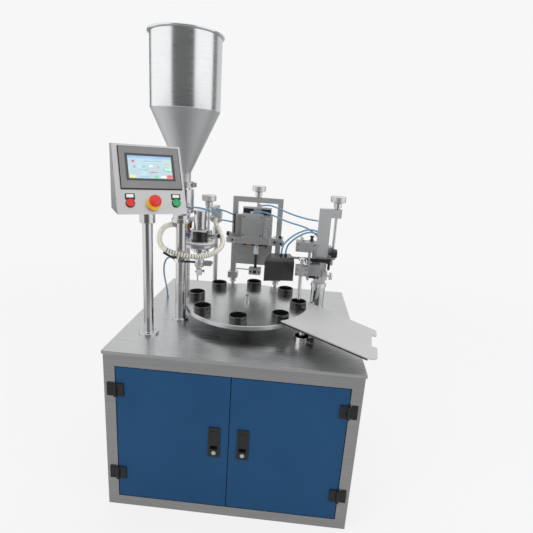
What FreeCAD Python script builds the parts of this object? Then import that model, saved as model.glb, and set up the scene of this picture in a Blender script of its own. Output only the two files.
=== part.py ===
import FreeCAD, Part
import math
import os

os.makedirs("parts", exist_ok=True)

# Rotary filling and closing machine on a cabinet.
# Millimetres. X to the right, the doors face -Y, Z up. The origin lies on the floor
# at the middle of the cabinet, between its four foot holes.

# Cabinet
cabinet_width = 900.0
cabinet_depth = 850.0
table_height = 645.0
table_sheet = 3.0
table_overhang = 4.0
table_lip = 12.0
lip_gap = 1.0
leg_face = 40.0
angle_sheet = 3.0
top_rail = 54.0
bottom_rail = 40.0
panel_sheet = 1.5
foot_plate = 80.0
foot_plate_sheet = 6.0
foot_inset = 45.0
foot_hole_r = 6.5
gland_x = -397.0
gland_y = 137.0
gland_r = 7.0
gland_height = 14.0
stop_bar_width = 40.0
stop_bar_sheet = 5.0
vent_length = 150.0
vent_height = 5.0
vent_pitch = 14.0
vent_rows = 8
vent_x = 230.0
vent_z = 440.0
rack_x = -360.0
rack_width = 330.0
rack_z = 120.0
rack_height = 320.0
rack_sheet = 3.0
rack_gap = 30.0
rack_edge = 20.0
module_height = 110.0
module_depth = 60.0
module_gap = 25.0

# Doors, hinges and latches
door_gap = 3.0
door_sheet = 2.0
door_return = 20.0
door_stop_gap = 2.0
hinge_width = 60.0
hinge_height = 50.0
hinge_leaf_sheet = 5.0
hinge_knuckle_r = 6.0
hinge_pin_r = 2.5
hinge_top_inset = 90.0
hinge_bottom_inset = 108.0
hinge_gap = 0.4
latch_width = 42.0
latch_height = 122.0
latch_rim = 4.0
latch_body_depth = 18.0
latch_wall = 4.0
latch_edge = 52.0
latch_z = 322.0
latch_head = 13.0
pocket_height = 78.0
pocket_depth = 15.0
handle_height = 58.0
handle_sheet = 4.0
handle_gap = 0.5
handle_pin_r = 2.0
handle_pin_drop = 9.0
handle_above = 5.0
lock_z = 278.0
lock_r = 8.0
lock_cam_length = 22.0

# Dial and its drive
dial_x = -5.0
dial_y = 8.0
dial_r = 261.0
dial_sheet = 18.0
dial_rise = 40.0
dial_phase = -2.0
cup_count = 8
cup_ring_r = 222.0
cup_r = 29.5
cup_bore_r = 23.5
cup_height = 29.0
cup_floor = 4.0
cup_groove = 1.0
dial_chamfer = 1.5
shaft_r = 25.0
shaft_hole_gap = 10.0
hub_r = 70.0
hub_sheet = 12.0
stud_r = 9.0
stud_height = 32.0
gearbox_width = 190.0
gearbox_height = 170.0
gearbox_plate = 260.0
gearbox_plate_sheet = 12.0
gearbox_collar = 8.0
motor_r = 62.0
motor_length = 230.0
motor_flange = 12.0
motor_ribs = 12
motor_rib_pitch = 14.0
terminal_length = 80.0
terminal_width = 76.0
terminal_depth = 34.0

# Control unit
post_x = -346.0
post_y = -258.0
post_r = 18.0
post_wall = 2.0
post_flange_r = 36.0
post_flange_sheet = 9.0
post_collar_r = 27.0
post_collar_height = 45.0
box_rise = 469.0
box_width = 226.0
box_height = 218.0
box_top_depth = 45.0
box_slope = 26.0
box_behind_post = 48.0
box_yaw = 31.0
box_sheet = 1.5
cover_sheet = 1.5
bezel_width = 196.0
bezel_height = 144.0
bezel_up = 38.5
bezel_side = 4.5
bezel_sheet = 6.0
bezel_lap = 8.0
panel_body_depth = 32.0
border_width = 161.0
border_height = 95.0
border_recess = 0.6
screen_recess = 1.4
screen_width = 144.0
screen_height = 79.0
screen_up = 40.0
button_up = -83.0
button_spacing = 75.0
button_side = 4.5
button_hole_r = 11.2
button_ring_r = 14.5
button_ring_height = 5.0
button_cap_r = 9.5
button_cap_height = 4.5
button_proud = 1.5
button_well = 1.5
button_stem_end = 5.0
switch_neck = 8.0
button_stem_r = 6.0
contact_width = 28.0
contact_height = 36.0
contact_depth = 28.0
estop_base_r = 24.0
estop_base_height = 3.0
estop_neck_r = 12.0
estop_neck_height = 8.0
estop_head_r = 20.0
estop_head_height = 18.0
estop_travel = 5.0
estop_stem_r = 7.0
running_gap = 0.05
slide_gap = 0.3

# Hopper, column and metering pump
hopper_x = -299.0
hopper_y = 60.0
hopper_r = 139.0
hopper_wall = 2.0
hopper_bead_r = 4.5
hopper_cylinder = 275.0
hopper_cone = 243.0
neck_r = 25.0
neck_length = 50.0
ferrule_r = 32.0
ferrule_sheet = 6.0
ferrule_neck = 13.0
clamp_r = 38.5
clamp_height = 24.0
clamp_lug_lap = 3.0
clamp_lug_length = 14.0
clamp_lug_width = 18.0
wing_front = 22.0
wing_back = 16.0
wing_r = 5.0
pump_r = 39.0
pump_height = 98.0
arm_sheet = 14.0
arm_width = 60.0
column_rise = 422.0
column_x = -268.0
column_y = -101.0
column_r = 20.0
sleeve_r = 21.5
sleeve_height = 164.0
column_flange_r = 32.0
column_flange_sheet = 9.0
column_ring_r = 37.0
column_ring_height = 16.0
column_cap_r = 31.0
column_wall = 3.0
hose_outlet_reach = 32.0
hose_outlet_drop = 27.0
line_outlet_reach = 34.0
line_outlet_drop = 155.0

# Filling station
fill_x = -220.0
fill_y = 18.0
fill_post_left = (-292.0, 95.0)
fill_post_right = (-188.0, 216.0)
fill_post_r = 10.0
fill_post_rise = 423.0
fill_tie_gap = 27.0
fill_screw_below = 71.0
fill_foot_r = 21.0
fill_foot_sheet = 10.0
fill_screw = (-205.0, 112.0)
fill_arm_sheet = 20.0
fill_arm_width = 28.0
fill_block_width = 44.0
fill_block_drop = 58.0
fill_disc_r = 72.5
fill_disc_sheet = 9.0
fill_disc_rise = 295.0
fill_boss_r = 17.0
fill_boss_height = 48.0
actuator_r = 32.5
actuator_height = 50.0
valve_plate_width = 62.0
valve_plate_sheet = 7.0
valve_cylinder_r = 27.0
valve_cylinder_height = 80.0
valve_lower_r = 36.0
valve_lower_height = 34.0
nozzle_stem_r = 6.0
nozzle_body_r = 9.0
nozzle_tip_r = 3.0
nozzle_rise = 131.0
nozzle_travel = 30.0
nozzle_block_rise = 205.0
nozzle_tip_rise = 155.0
nozzle_block_height = 14.0
nozzle_lever = 46.0
nozzle_lever_width = 16.0
nozzle_collar_wall = 4.0
nozzle_stem_share = 0.7

# Knobs and screws of the three height adjusters
knob_r = 29.0
knob_height = 24.0
knob_neck_r = 15.0
knob_neck_height = 29.0
knob_lobes = 8
knob_lobe_start = 22.5
knob_lobe_place = 0.6
knob_lobe_r = 7.0
screw_r = 6.0

# Closing station
cap_x = -4.0
cap_portal_y = 285.0
cap_leg = 24.0
cap_leg_spacing = 213.0
cap_portal_rise = 483.0
cap_beam = 24.0
cap_leg_rise = 98.0
cap_foot_clamp = 46.0
cap_foot_clamp_height = 30.0
cap_post_r = 8.0
cap_post_flange_r = 20.0
cap_post_flange_sheet = 8.0
cap_plate_rise = 271.0
cap_plate_sheet = 28.0
cap_plate_depth = 62.0
cap_screw_below = 11.0
cap_block_width = 98.0
cap_block_side = 42.0
cap_block_inset = 2.0
cap_side_step = 12.0
cap_side_drop = 6.0
cap_left_width = 34.0
cap_left_reach = 30.0
cap_left_rise = 16.0
cap_left_drop = 8.0
cap_head_reach = 26.0
cap_nut_width = 32.0
cap_nut_lap = 5.0
cap_nut_reach = 15.0
cap_block_height = 112.0
cap_head_width = 132.0
cap_head_height = 28.0
cap_back_x = -17.0
cap_back_width = 184.0
cap_back_height = 112.0
cap_back_sheet = 8.0
press_rod_r = 6.0
press_block_width = 56.0
press_block_depth = 40.0
press_block_height = 30.0
press_nut_drop = 50.0
press_nut_wall = 5.0
press_pocket_width = 16.0
press_pocket_depth = 8.0
press_pocket_floor = 6.0
press_pocket_roof = 8.0
finger_rise = 14.0
press_rise = 123.0
press_travel = 20.0
finger_r = 3.0

# Ejecting station
eject_x = 300.0
eject_y = 75.0
eject_bar = 50.0
eject_bar_depth = 34.0
eject_rise = 479.0
eject_arm_reach = 366.0
eject_arm_sheet = 36.0
eject_bar_rise = 155.0
eject_column_r = 29.0
eject_flange_r = 44.0
eject_flange_sheet = 10.0
eject_screw_x = 347.0
eject_screw_rise = 235.0
eject_carriage_rise = 243.0
eject_carriage_height = 74.0
eject_carriage_wall = 14.0
eject_rod_r = 7.5
eject_rod_gap = 4.0
eject_rod_travel = 22.0
eject_cylinder_width = 50.0
eject_cylinder_height = 38.0
eject_nut_half = 12.0
eject_nut_inset = 20.0
eject_block_step = 10.0
eject_drop_sheet = 8.0
eject_drop_reach = 20.0
eject_drop_below = 18.0
eject_drop_lap = 4.0
eject_front_step = 4.0
eject_side_width = 52.0
eject_side_below = 6.0
eject_side_above = 42.0
eject_strap_reach = 16.0
eject_strap_rise = 10.0
eject_strap_height = 12.0
eject_head_height = 8.0
eject_head_wall = 6.0
eject_cylinder_rise = 205.0
eject_block_width = 74.0
eject_block_height = 40.0
eject_block_rise = 299.0
guard_thickness = 2.0
guard_rise = 169.0
guard_height = 73.0
guard_bend = 25.0
guard_flange = 60.0
guard_width = 127.0
guard_corner = 40.0
guard_yaw = 15.0
guard_ear = 90.0
guard_corner_lap = 6.0
guard_tab_height = 16.0
guard_x = 63.0
guard_y = -20.0

# Delivery tray: the corners of its outline, seen from above
tray_sheet = 4.0
tray_rise = 12.0
tray_dial_gap = 4.0
tray_near_front = (148.0, -205.0)
tray_end_front = (469.0, -472.0)
tray_end_back = (510.0, -219.0)
tray_near_back = (243.0, 48.0)
tray_notch_start = 0.42
tray_notch_end = 0.80
tray_notch_depth = 18.0
tray_corner_r = 22.0
tray_notch_r = 6.0
tray_turn = -41.0
tray_post_x = 234.0
tray_post_y = -214.0
tray_post_r = 12.0
tray_collar_r = 27.0
tray_screw_length = 12.0
tray_screw_r = 6.0
tray_collar_height = 24.0
tray_pad_width = 90.0
tray_pad_depth = 60.0

# Cables, air lines and fittings
air_line_r = 3.5
conduit_r = 9.0
fitting_r = 6.0
socket_r = 5.0
socket_reach = 10.0

# Routes of the hose and the air lines, with heights above the table top
hose_points = (
    (column_x - hose_outlet_reach, column_y, column_rise - hose_outlet_drop),
    (-322, -106, 392), (-339, -118, 377), (-346, -132, 352), (-342, -141, 324),
    (-322, -143, 302), (-290, -140, 291), (-255, -134, 283), (-220, -120, 275), (-186, -92, 270),
    (-152, -56, 275), (-130, -12, 287), (-124, 35, 302), (-136, 82, 317), (-156, 122, 337),
    (-178, 152, 361), (-188, 172, 375), (-188, 190.1, 378.3))
air_line_points = (
    ((-273.4, 25.5, 447.4), (-264, 13, 449), (-240, -13, 455), (-205, -20, 455), (-178, 4, 443),
     (-166, 52, 427), (-162, 110, 417), (-166, 160, 409), (-173.1, 190.1, 405.5)),
    ((-180.7, 150.6, 432.6), (-165, 153, 431), (-143, 180, 422), (-127, 218, 409), (-116, 250, 398),
     (-114.3, 269.1, 393.8)),
    ((-162, 212.4, 374.6), (-144, 214, 373), (-125, 228, 368), (-116, 249, 363), (-114.7, 269.1, 361.4)),
    ((16, 258, 448), (44, 250, 456), (90, 212, 450), (148, 162, 434), (210, 112, 426),
     (248, 86, 424), (271.2, 79.1, 424)),
    ((-18, 228, 417), (10, 222, 425), (50, 198, 424), (98, 164, 412), (149, 135, 399),
     (205, 108, 392), (244, 92, 381), (271.9, 81.2, 361.2)),
    ((271.4, 71.2, 380), (250, 67, 387), (220, 60, 383), (184, 53, 366), (151, 45, 340), (128, 40, 309),
     (128, 40, 277)),
    ((271.5, 65.5, 370), (250, 63, 377), (222, 59, 371), (194, 54, 356), (166, 49, 333), (146, 45, 306),
     (146, 45, 277)),
    ((column_x - line_outlet_reach, column_y, column_rise - line_outlet_drop),
     (-326, -94, 258), (-348, -66, 223), (-365, -18, 173), (-378, 40, 120),
     (-389, 94, 72), (-396, 128, 40), (gland_x, gland_y, gland_height)))

half_width = cabinet_width / 2
half_depth = cabinet_depth / 2
frame_top = table_height - table_sheet
door_top = frame_top - top_rail
front = -half_depth
dial_bottom = table_height + dial_rise
dial_top = dial_bottom + dial_sheet
cup_top = dial_top + cup_height
box_bottom = table_height + box_rise
fill_post_top = table_height + fill_post_rise
fill_disc_z = table_height + fill_disc_rise
nozzle_bottom = table_height + nozzle_rise
nozzle_block_z = table_height + nozzle_block_rise
nozzle_tip_top = table_height + nozzle_tip_rise
cap_portal_top = table_height + cap_portal_rise
cap_leg_bottom = table_height + cap_leg_rise
cap_plate_z = table_height + cap_plate_rise
press_bottom = table_height + press_rise
eject_top = table_height + eject_rise
eject_bar_bottom = table_height + eject_bar_rise
eject_screw_bottom = table_height + eject_screw_rise
eject_carriage_z = table_height + eject_carriage_rise
eject_cylinder_z = table_height + eject_cylinder_rise
eject_block_z = table_height + eject_block_rise
guard_bottom = table_height + guard_rise
column_top = table_height + column_rise
pump_top = column_top + pump_height
neck_bottom = pump_top + ferrule_neck + ferrule_sheet
cone_bottom = neck_bottom + neck_length
hopper_bottom_z = cone_bottom + hopper_cone
hopper_top = hopper_bottom_z + hopper_cylinder
fill_tie_z = column_top - fill_tie_gap - fill_arm_sheet
up = FreeCAD.Vector(0, 0, 1)


def at(x, y, z):
    return FreeCAD.Vector(x, y, z)


def on_table(points):
    return [(x, y, table_height + z) for x, y, z in points]


hose_route = on_table(hose_points)
air_routes = [on_table(points) for points in air_line_points]


def block(x0, x1, y0, y1, z0, z1):
    return Part.makeBox(x1 - x0, y1 - y0, z1 - z0, at(x0, y0, z0))


def centred_block(x, y, width, depth, z0, z1):
    return block(x - width / 2, x + width / 2, y - depth / 2, y + depth / 2, z0, z1)


def post(x, y, z0, z1, r):
    return Part.makeCylinder(r, z1 - z0, at(x, y, z0))


def pipe(x, y, z0, z1, r, bore_r):
    return post(x, y, z0, z1, r).cut(post(x, y, z0 - 1, z1 + 1, bore_r))


def bar(start, end, r):
    way = end - start
    return Part.makeCylinder(r, way.Length, start, way)


# A push-in socket that holds the end of a hose or line and points along it.
def socket(end, inner, r):
    end = at(*end)
    back = (end - at(*inner)).normalize() * socket_reach
    return bar(end, end + back, r)


def starting_socket(route, r=socket_r):
    return socket(route[0], route[1], r)


def ending_socket(route, r=socket_r):
    return socket(route[-1], route[-2], r)


def prism(points, height):
    ring = [at(x, y, z) for x, y, z in points]
    face = Part.Face(Part.makePolygon(ring + ring[:1]))
    return face.extrude(height)


def revolve(profile, x, y):
    ring = [at(x + r, y, z) for r, z in profile]
    face = Part.Face(Part.makePolygon(ring + ring[:1]))
    return face.revolve(at(x, y, 0), up, 360)


def fuse(*shapes):
    return shapes[0].multiFuse(list(shapes[1:])).removeSplitter()


def cut(shape, *tools):
    for tool in tools:
        shape = shape.cut(tool)
    return shape


def group(*shapes):
    return Part.makeCompound(list(shapes))


def save(name, shape):
    shape.exportStep("parts/" + name + ".step")


def flange_places(x, y, ring_r, count, start):
    turns = [math.radians(start + 360.0 * i / count) for i in range(count)]
    return [(x + ring_r * math.cos(t), y + ring_r * math.sin(t)) for t in turns]


def span_block(x0, x1, y0, y1, z0, z1):
    xs, ys = sorted((x0, x1)), sorted((y0, y1))
    return block(xs[0], xs[1], ys[0], ys[1], z0, z1)


# Cabinet: folded angles at the corners and edges, a stop bar behind the doors, foot plates.
def cabinet_frame():
    pieces = []
    for sx in (-1, 1):
        for sy in (-1, 1):
            x, y = sx * half_width, sy * half_depth
            x_leg, y_leg = x - sx * leg_face, y - sy * leg_face
            pieces.append(span_block(x, x_leg, y, y - sy * angle_sheet, 0, frame_top))
            pieces.append(span_block(x, x - sx * angle_sheet, y, y_leg, 0, frame_top))
            pieces.append(span_block(x, x - sx * foot_plate, y, y - sy * foot_plate, 0, foot_plate_sheet))
    for s in (-1, 1):
        x, y = s * half_width, s * half_depth
        rails = ((0, bottom_rail, 0), (frame_top - top_rail, frame_top, frame_top - angle_sheet))
        for z0, z1, low in rails:
            high = low + angle_sheet
            pieces.append(span_block(-half_width, half_width, y, y - s * angle_sheet, z0, z1))
            pieces.append(span_block(-half_width, half_width, y, y - s * leg_face, low, high))
            pieces.append(span_block(x, x - s * angle_sheet, -half_depth, half_depth, z0, z1))
            pieces.append(span_block(x, x - s * leg_face, -half_depth, half_depth, low, high))
    stop_front = front + door_return + door_stop_gap
    pieces.append(centred_block(0, stop_front + stop_bar_sheet / 2, stop_bar_width, stop_bar_sheet,
                                0, frame_top))
    frame = fuse(*pieces)
    for sx in (-1, 1):
        for sy in (-1, 1):
            x, y = sx * (half_width - foot_inset), sy * (half_depth - foot_inset)
            frame = frame.cut(post(x, y, -1, foot_plate_sheet + 1, foot_hole_r))
    return frame


def table_top():
    x_edge, y_edge = half_width + table_overhang, half_depth + table_overhang
    x_in, y_in = half_width + lip_gap, half_depth + lip_gap
    sheet = block(-x_edge, x_edge, -y_edge, y_edge, table_height - table_lip, table_height)
    sheet = sheet.cut(block(-x_in, x_in, -y_in, y_in, table_height - table_lip - 1, frame_top))
    gland = post(gland_x, gland_y, table_height, table_height + 0.7 * gland_height, gland_r)
    sheet = fuse(sheet, gland, ending_socket(air_routes[7]))
    shaft_hole = post(dial_x, dial_y, frame_top - 1, table_height + 1, shaft_r + shaft_hole_gap)
    cable_hole = post(post_x, post_y, frame_top - 1, table_height + 1, post_r - post_wall)
    return cut(sheet, shaft_hole, cable_hole)


def cabinet_panels():
    z0, z1 = foot_plate_sheet, frame_top - angle_sheet
    x, y = half_width - angle_sheet, half_depth - angle_sheet
    sides = [span_block(s * x, s * (x - panel_sheet), -y, y, z0, z1) for s in (-1, 1)]
    back = block(-x + panel_sheet, x - panel_sheet, y - panel_sheet, y, z0, z1)
    for s in (-1, 1):
        for row in range(vent_rows):
            z = vent_z + row * vent_pitch
            slot = centred_block(s * vent_x, y, vent_length, 4 * panel_sheet, z, z + vent_height)
            back = back.cut(slot)
    return group(*sides, back, base_panel())


def base_panel():
    x, y = half_width - angle_sheet - panel_sheet, half_depth - angle_sheet - panel_sheet
    y_front = front + door_return + door_stop_gap + stop_bar_sheet + lip_gap
    sheet = block(-x, x, y_front, y, angle_sheet, angle_sheet + panel_sheet)
    for sx in (-1, 1):
        for sy in (-1, 1):
            corner = foot_plate + lip_gap
            x_out, y_out = sx * half_width, sy * half_depth
            notch = span_block(x_out, x_out - sx * corner, y_out, y_out - sy * corner, 0, foot_plate_sheet)
            sheet = sheet.cut(notch)
    return sheet


# Doors, their hinges and recessed latches. side is -1 for the left door, 1 for the right.
def door(side):
    outer, inner = half_width - leg_face - door_gap, door_gap / 2
    z0, z1 = bottom_rail + door_gap, door_top - door_gap
    pan = span_block(side * outer, side * inner, front, front + door_return, z0, z1)
    hollow = span_block(side * (outer - door_sheet), side * (inner + door_sheet), front + door_sheet,
                        front + door_return + 1, z0 + door_sheet, z1 - door_sheet)
    body_width, body_height = latch_width - 2 * latch_rim, latch_height - 2 * latch_rim
    window = centred_block(side * latch_edge, front, body_width, 4 * door_sheet,
                           latch_z - body_height / 2, latch_z + body_height / 2)
    return cut(pan, hollow, window)


hinge_x = half_width - leg_face - door_gap / 2
hinge_y = front - hinge_knuckle_r - hinge_gap
hinge_zs = (door_top - hinge_top_inset, bottom_rail + hinge_bottom_inset)


def knuckle(x, z0, z1, way):
    barrel = post(x, hinge_y, z0, z1, hinge_knuckle_r)
    web = span_block(x, x + way * (hinge_knuckle_r + 2), front - hinge_leaf_sheet, front, z0, z1)
    return [barrel, web]


def leaf(x, z, way):
    start = x + way * (hinge_knuckle_r + hinge_gap)
    end = x + way * hinge_width / 2
    return span_block(start, end, front - hinge_leaf_sheet, front, z - hinge_height / 2, z + hinge_height / 2)


def frame_hinge(side, z):
    x = side * hinge_x
    third = hinge_height / 6
    plate = leaf(x, z, side)
    for s in (-1, 1):
        z_mid = z + s * hinge_height / 3
        clear = third + hinge_gap
        plate = plate.cut(centred_block(x, front, 2 * (hinge_knuckle_r + 2), 4 * hinge_leaf_sheet,
                                        z_mid - clear, z_mid + clear))
    pin = post(x, hinge_y, z - hinge_height / 2, z + hinge_height / 2, hinge_pin_r)
    return fuse(plate, pin, *knuckle(x, z - third, z + third, side))


def door_hinge(side, z):
    x = side * hinge_x
    third = hinge_height / 6
    plate = leaf(x, z, -side)
    slot = centred_block(x, front, 2 * (hinge_knuckle_r + 2 + hinge_gap), 4 * hinge_leaf_sheet,
                         z - third - hinge_gap, z + third + hinge_gap)
    ends = []
    for s in (-1, 1):
        z_ends = sorted((z + s * (third + hinge_gap), z + s * hinge_height / 2))
        ends += knuckle(x, z_ends[0], z_ends[1], -side)
    whole = fuse(plate.cut(slot), *ends)
    return whole.cut(post(x, hinge_y, z - hinge_height, z + hinge_height, hinge_pin_r + running_gap))


def latch_zs():
    top = latch_z + latch_height / 2 - latch_head
    return top, top - pocket_height


def handle_axis():
    top, bottom = latch_zs()
    return front + handle_pin_r + handle_gap, top - handle_pin_drop


def latch_housing(side):
    x = side * latch_edge
    top, bottom = latch_zs()
    body_width, body_height = latch_width - 2 * latch_rim, latch_height - 2 * latch_rim
    rim = centred_block(x, front - latch_rim / 2, latch_width, latch_rim,
                        latch_z - latch_height / 2, latch_z + latch_height / 2)
    body = centred_block(x, front + latch_body_depth / 2, body_width, latch_body_depth,
                         latch_z - body_height / 2, latch_z + body_height / 2)
    pocket_width = body_width - 2 * latch_wall
    y_mouth = front - latch_rim - 1
    pocket = block(x - pocket_width / 2, x + pocket_width / 2, y_mouth, y_mouth + 1 + pocket_depth,
                   bottom, top)
    y_axis, z_axis = handle_axis()
    pin_bore = bar(at(x - latch_width, y_axis, z_axis), at(x + latch_width, y_axis, z_axis),
                   handle_pin_r + running_gap)
    lock_bore = bar(at(x, y_mouth, lock_z), at(x, front + latch_body_depth + 1, lock_z), lock_r + running_gap)
    return cut(fuse(rim, body), pocket, pin_bore, lock_bore)


def latch_handle(side):
    x = side * latch_edge
    top, bottom = latch_zs()
    y_axis, z_axis = handle_axis()
    width = latch_width - 2 * latch_rim - 2 * latch_wall - 2 * handle_gap
    y0 = front - latch_rim
    paddle = block(x - width / 2, x + width / 2, y0, y0 + handle_sheet,
                   z_axis + handle_above - handle_height, z_axis + handle_above)
    hub = bar(at(x - width / 2, y_axis, z_axis), at(x + width / 2, y_axis, z_axis), handle_pin_r + 1.5)
    reach = latch_width / 2 - latch_rim - handle_gap
    pin = bar(at(x - reach, y_axis, z_axis), at(x + reach, y_axis, z_axis), handle_pin_r)
    return fuse(paddle, hub, pin)


def lock_cylinder(side):
    x = side * latch_edge
    y0, y1 = front - latch_rim - 1, front + latch_body_depth + handle_gap
    barrel = bar(at(x, y0, lock_z), at(x, y1, lock_z), lock_r)
    key_slot = centred_block(x, y0, 1.6, 6, lock_z - lock_r / 2, lock_z + lock_r / 2)
    cam = centred_block(x, y1 + 1, 8, 2, lock_z - lock_cam_length, lock_z + lock_r / 2)
    return fuse(barrel.cut(key_slot), cam)


# Drive inside the cabinet: indexing gearbox under the table, its motor, the dial shaft.
def index_gearbox():
    top = frame_top
    plate = centred_block(dial_x, dial_y, gearbox_plate, gearbox_plate, top - gearbox_plate_sheet, top)
    z0 = top - gearbox_plate_sheet - gearbox_height
    body = centred_block(dial_x, dial_y, gearbox_width, gearbox_width, z0, top - gearbox_plate_sheet)
    collar = post(dial_x, dial_y, top, table_height + gearbox_collar, shaft_r + shaft_hole_gap / 2)
    bore = post(dial_x, dial_y, z0 + gearbox_width / 3, table_height + gearbox_collar + 1,
                shaft_r + running_gap)
    return fuse(plate, body, collar).cut(bore)


def drive_motor():
    x0 = dial_x + gearbox_width / 2
    z = frame_top - gearbox_plate_sheet - gearbox_height / 2
    flange = bar(at(x0, dial_y, z), at(x0 + motor_flange, dial_y, z), motor_r + 8)
    body = bar(at(x0, dial_y, z), at(x0 + motor_length, dial_y, z), motor_r)
    ribs = []
    for i in range(motor_ribs):
        x = x0 + motor_flange * 2 + i * motor_rib_pitch
        ribs.append(bar(at(x, dial_y, z), at(x + motor_rib_pitch / 2, dial_y, z), motor_r + 5))
    box_x = x0 + motor_length / 3
    terminal = block(box_x, box_x + terminal_length, dial_y - motor_r - terminal_depth, dial_y,
                     z - terminal_width / 2, z + terminal_width / 2)
    return fuse(flange, body, terminal, *ribs)


def dial_shaft():
    z0 = frame_top - gearbox_plate_sheet - gearbox_height + gearbox_width / 2
    shaft = post(dial_x, dial_y, z0, dial_bottom, shaft_r)
    hub = post(dial_x, dial_y, dial_bottom - hub_sheet, dial_bottom, hub_r)
    stud = post(dial_x, dial_y, dial_bottom, dial_top + stud_height, stud_r)
    cap = post(dial_x, dial_y, dial_top, dial_top + stud_height / 3, stud_r + 3)
    return fuse(shaft, hub, stud, cap)


def dial_plate():
    disc = post(dial_x, dial_y, dial_bottom, dial_top, dial_r)
    rims = [edge for edge in disc.Edges if edge.Curve.TypeId == "Part::GeomCircle"]
    disc = disc.makeChamfer(dial_chamfer, rims)
    return disc.cut(post(dial_x, dial_y, dial_bottom - 1, dial_top + 1, stud_r + running_gap))


def cup(x, y):
    groove_z = dial_top + cup_height * 0.68
    profile = [(0, dial_top), (cup_r, dial_top), (cup_r, groove_z), (cup_r - cup_groove, groove_z),
               (cup_r - cup_groove, groove_z + 2), (cup_r, groove_z + 2), (cup_r, cup_top),
               (cup_bore_r + 1, cup_top), (cup_bore_r, cup_top - 1), (cup_bore_r, dial_top + cup_floor),
               (0, dial_top + cup_floor)]
    return revolve(profile, x, y)


def cups():
    places = flange_places(dial_x, dial_y, cup_ring_r, cup_count, dial_phase)
    return group(*[cup(x, y) for x, y in places])


def station(index):
    turn = math.radians(dial_phase + 360.0 * index / cup_count)
    return dial_x + cup_ring_r * math.cos(turn), dial_y + cup_ring_r * math.sin(turn)


def electrical_rack():
    y1 = half_depth - angle_sheet - panel_sheet
    y0 = y1 - rack_gap - rack_sheet
    plate = block(rack_x, rack_x + rack_width, y0, y0 + rack_sheet, rack_z, rack_z + rack_height)
    spacers = [bar(at(rack_x + fx * rack_width, y0, rack_z + fz * rack_height),
                   at(rack_x + fx * rack_width, y1, rack_z + fz * rack_height), 6)
               for fx in (0.08, 0.92) for fz in (0.08, 0.92)]
    modules = []
    for column in range(3):
        for row in range(2):
            x = rack_x + rack_edge + column * (rack_width - 2 * rack_edge) / 3
            z = rack_z + 2 * rack_edge + row * (rack_height - 3 * rack_edge) / 2
            modules.append(block(x, x + rack_width / 3 - module_gap, y0 - module_depth, y0,
                                 z, z + module_height))
    return fuse(plate, *spacers, *modules)


# Control unit. The case is built with its width along X and turned to its yaw about the post.
face_slope = math.tan(math.radians(box_slope))
box_front_bottom = box_behind_post - box_top_depth - box_height * face_slope
face_centre_y = box_front_bottom + box_height / 2 * face_slope


def on_box(shape):
    placed = shape.copy()
    placed.rotate(at(0, 0, 0), up, box_yaw)
    placed.translate(at(post_x, post_y, box_bottom))
    return placed


def on_face(shape):
    placed = shape.copy()
    placed.rotate(at(0, 0, 0), at(1, 0, 0), -box_slope)
    placed.translate(at(0, face_centre_y, box_height / 2))
    return on_box(placed)


def face_block(side, rise, width, height, y0, y1):
    return block(side - width / 2, side + width / 2, y0, y1, rise - height / 2, rise + height / 2)


def face_post(side, rise, y0, y1, r):
    return bar(at(side, y0, rise), at(side, y1, rise), r)


def wedge(width, sheet, back):
    lift = sheet / math.cos(math.radians(box_slope))
    z0, z1 = sheet, box_height - sheet
    points = [(-width / 2, box_front_bottom + z0 * face_slope + lift, z0), (-width / 2, back, z0),
              (-width / 2, back, z1), (-width / 2, box_front_bottom + z1 * face_slope + lift, z1)]
    return prism(points, at(width, 0, 0))


def button_sides():
    return [button_side + s * button_spacing for s in (-1, 0, 1)]


def control_box():
    case = wedge(box_width, 0, box_behind_post)
    hollow = wedge(box_width - 2 * box_sheet, box_sheet, box_behind_post + 1)
    shell = on_box(case.cut(hollow))
    window = on_face(face_block(bezel_side, bezel_up, bezel_width - 2 * bezel_lap,
                                bezel_height - 2 * bezel_lap, -9, 9))
    holes = [on_face(face_post(side, button_up, -9, 9, button_hole_r)) for side in button_sides()]
    cable = post(post_x, post_y, box_bottom - 1, box_bottom + box_sheet + 1, post_r - post_wall)
    return cut(shell, window, cable, *holes)


def box_back_cover():
    return on_box(block(-box_width / 2, box_width / 2, box_behind_post, box_behind_post + cover_sheet,
                        0, box_height))


def control_post():
    tube = pipe(post_x, post_y, table_height, box_bottom, post_r, post_r - post_wall)
    flange = pipe(post_x, post_y, table_height, table_height + post_flange_sheet, post_flange_r, post_r - 1)
    collar = pipe(post_x, post_y, box_bottom - post_collar_height, box_bottom, post_collar_r, post_r - 1)
    return fuse(tube, flange, collar)


def touch_panel():
    bezel = face_block(bezel_side, bezel_up, bezel_width, bezel_height, -bezel_sheet, 0)
    body = face_block(bezel_side, bezel_up, bezel_width - 2 * bezel_lap - 2 * lip_gap,
                      bezel_height - 2 * bezel_lap - 2 * lip_gap, 0, panel_body_depth)
    border = face_block(bezel_side, screen_up, border_width, border_height,
                        -bezel_sheet - 1, -bezel_sheet + border_recess)
    screen = face_block(bezel_side, screen_up, screen_width, screen_height,
                        -bezel_sheet - 1, -bezel_sheet + screen_recess)
    return on_face(cut(fuse(bezel, body), border, screen))


def switch_body(side):
    ring = face_post(side, button_up, -button_ring_height, 0, button_ring_r)
    neck = face_post(side, button_up, 0, switch_neck, button_hole_r - running_gap)
    contact = face_block(side, button_up, contact_width, contact_height,
                         switch_neck, switch_neck + contact_depth)
    well = face_post(side, button_up, -button_ring_height - 1, button_well, button_cap_r + slide_gap)
    stem_bore = face_post(side, button_up, 0, switch_neck + 2, button_stem_r + running_gap)
    return on_face(cut(fuse(ring, neck, contact), well, stem_bore))


def switch_bodies():
    return group(*[switch_body(side) for side in button_sides()[::2]])


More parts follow.
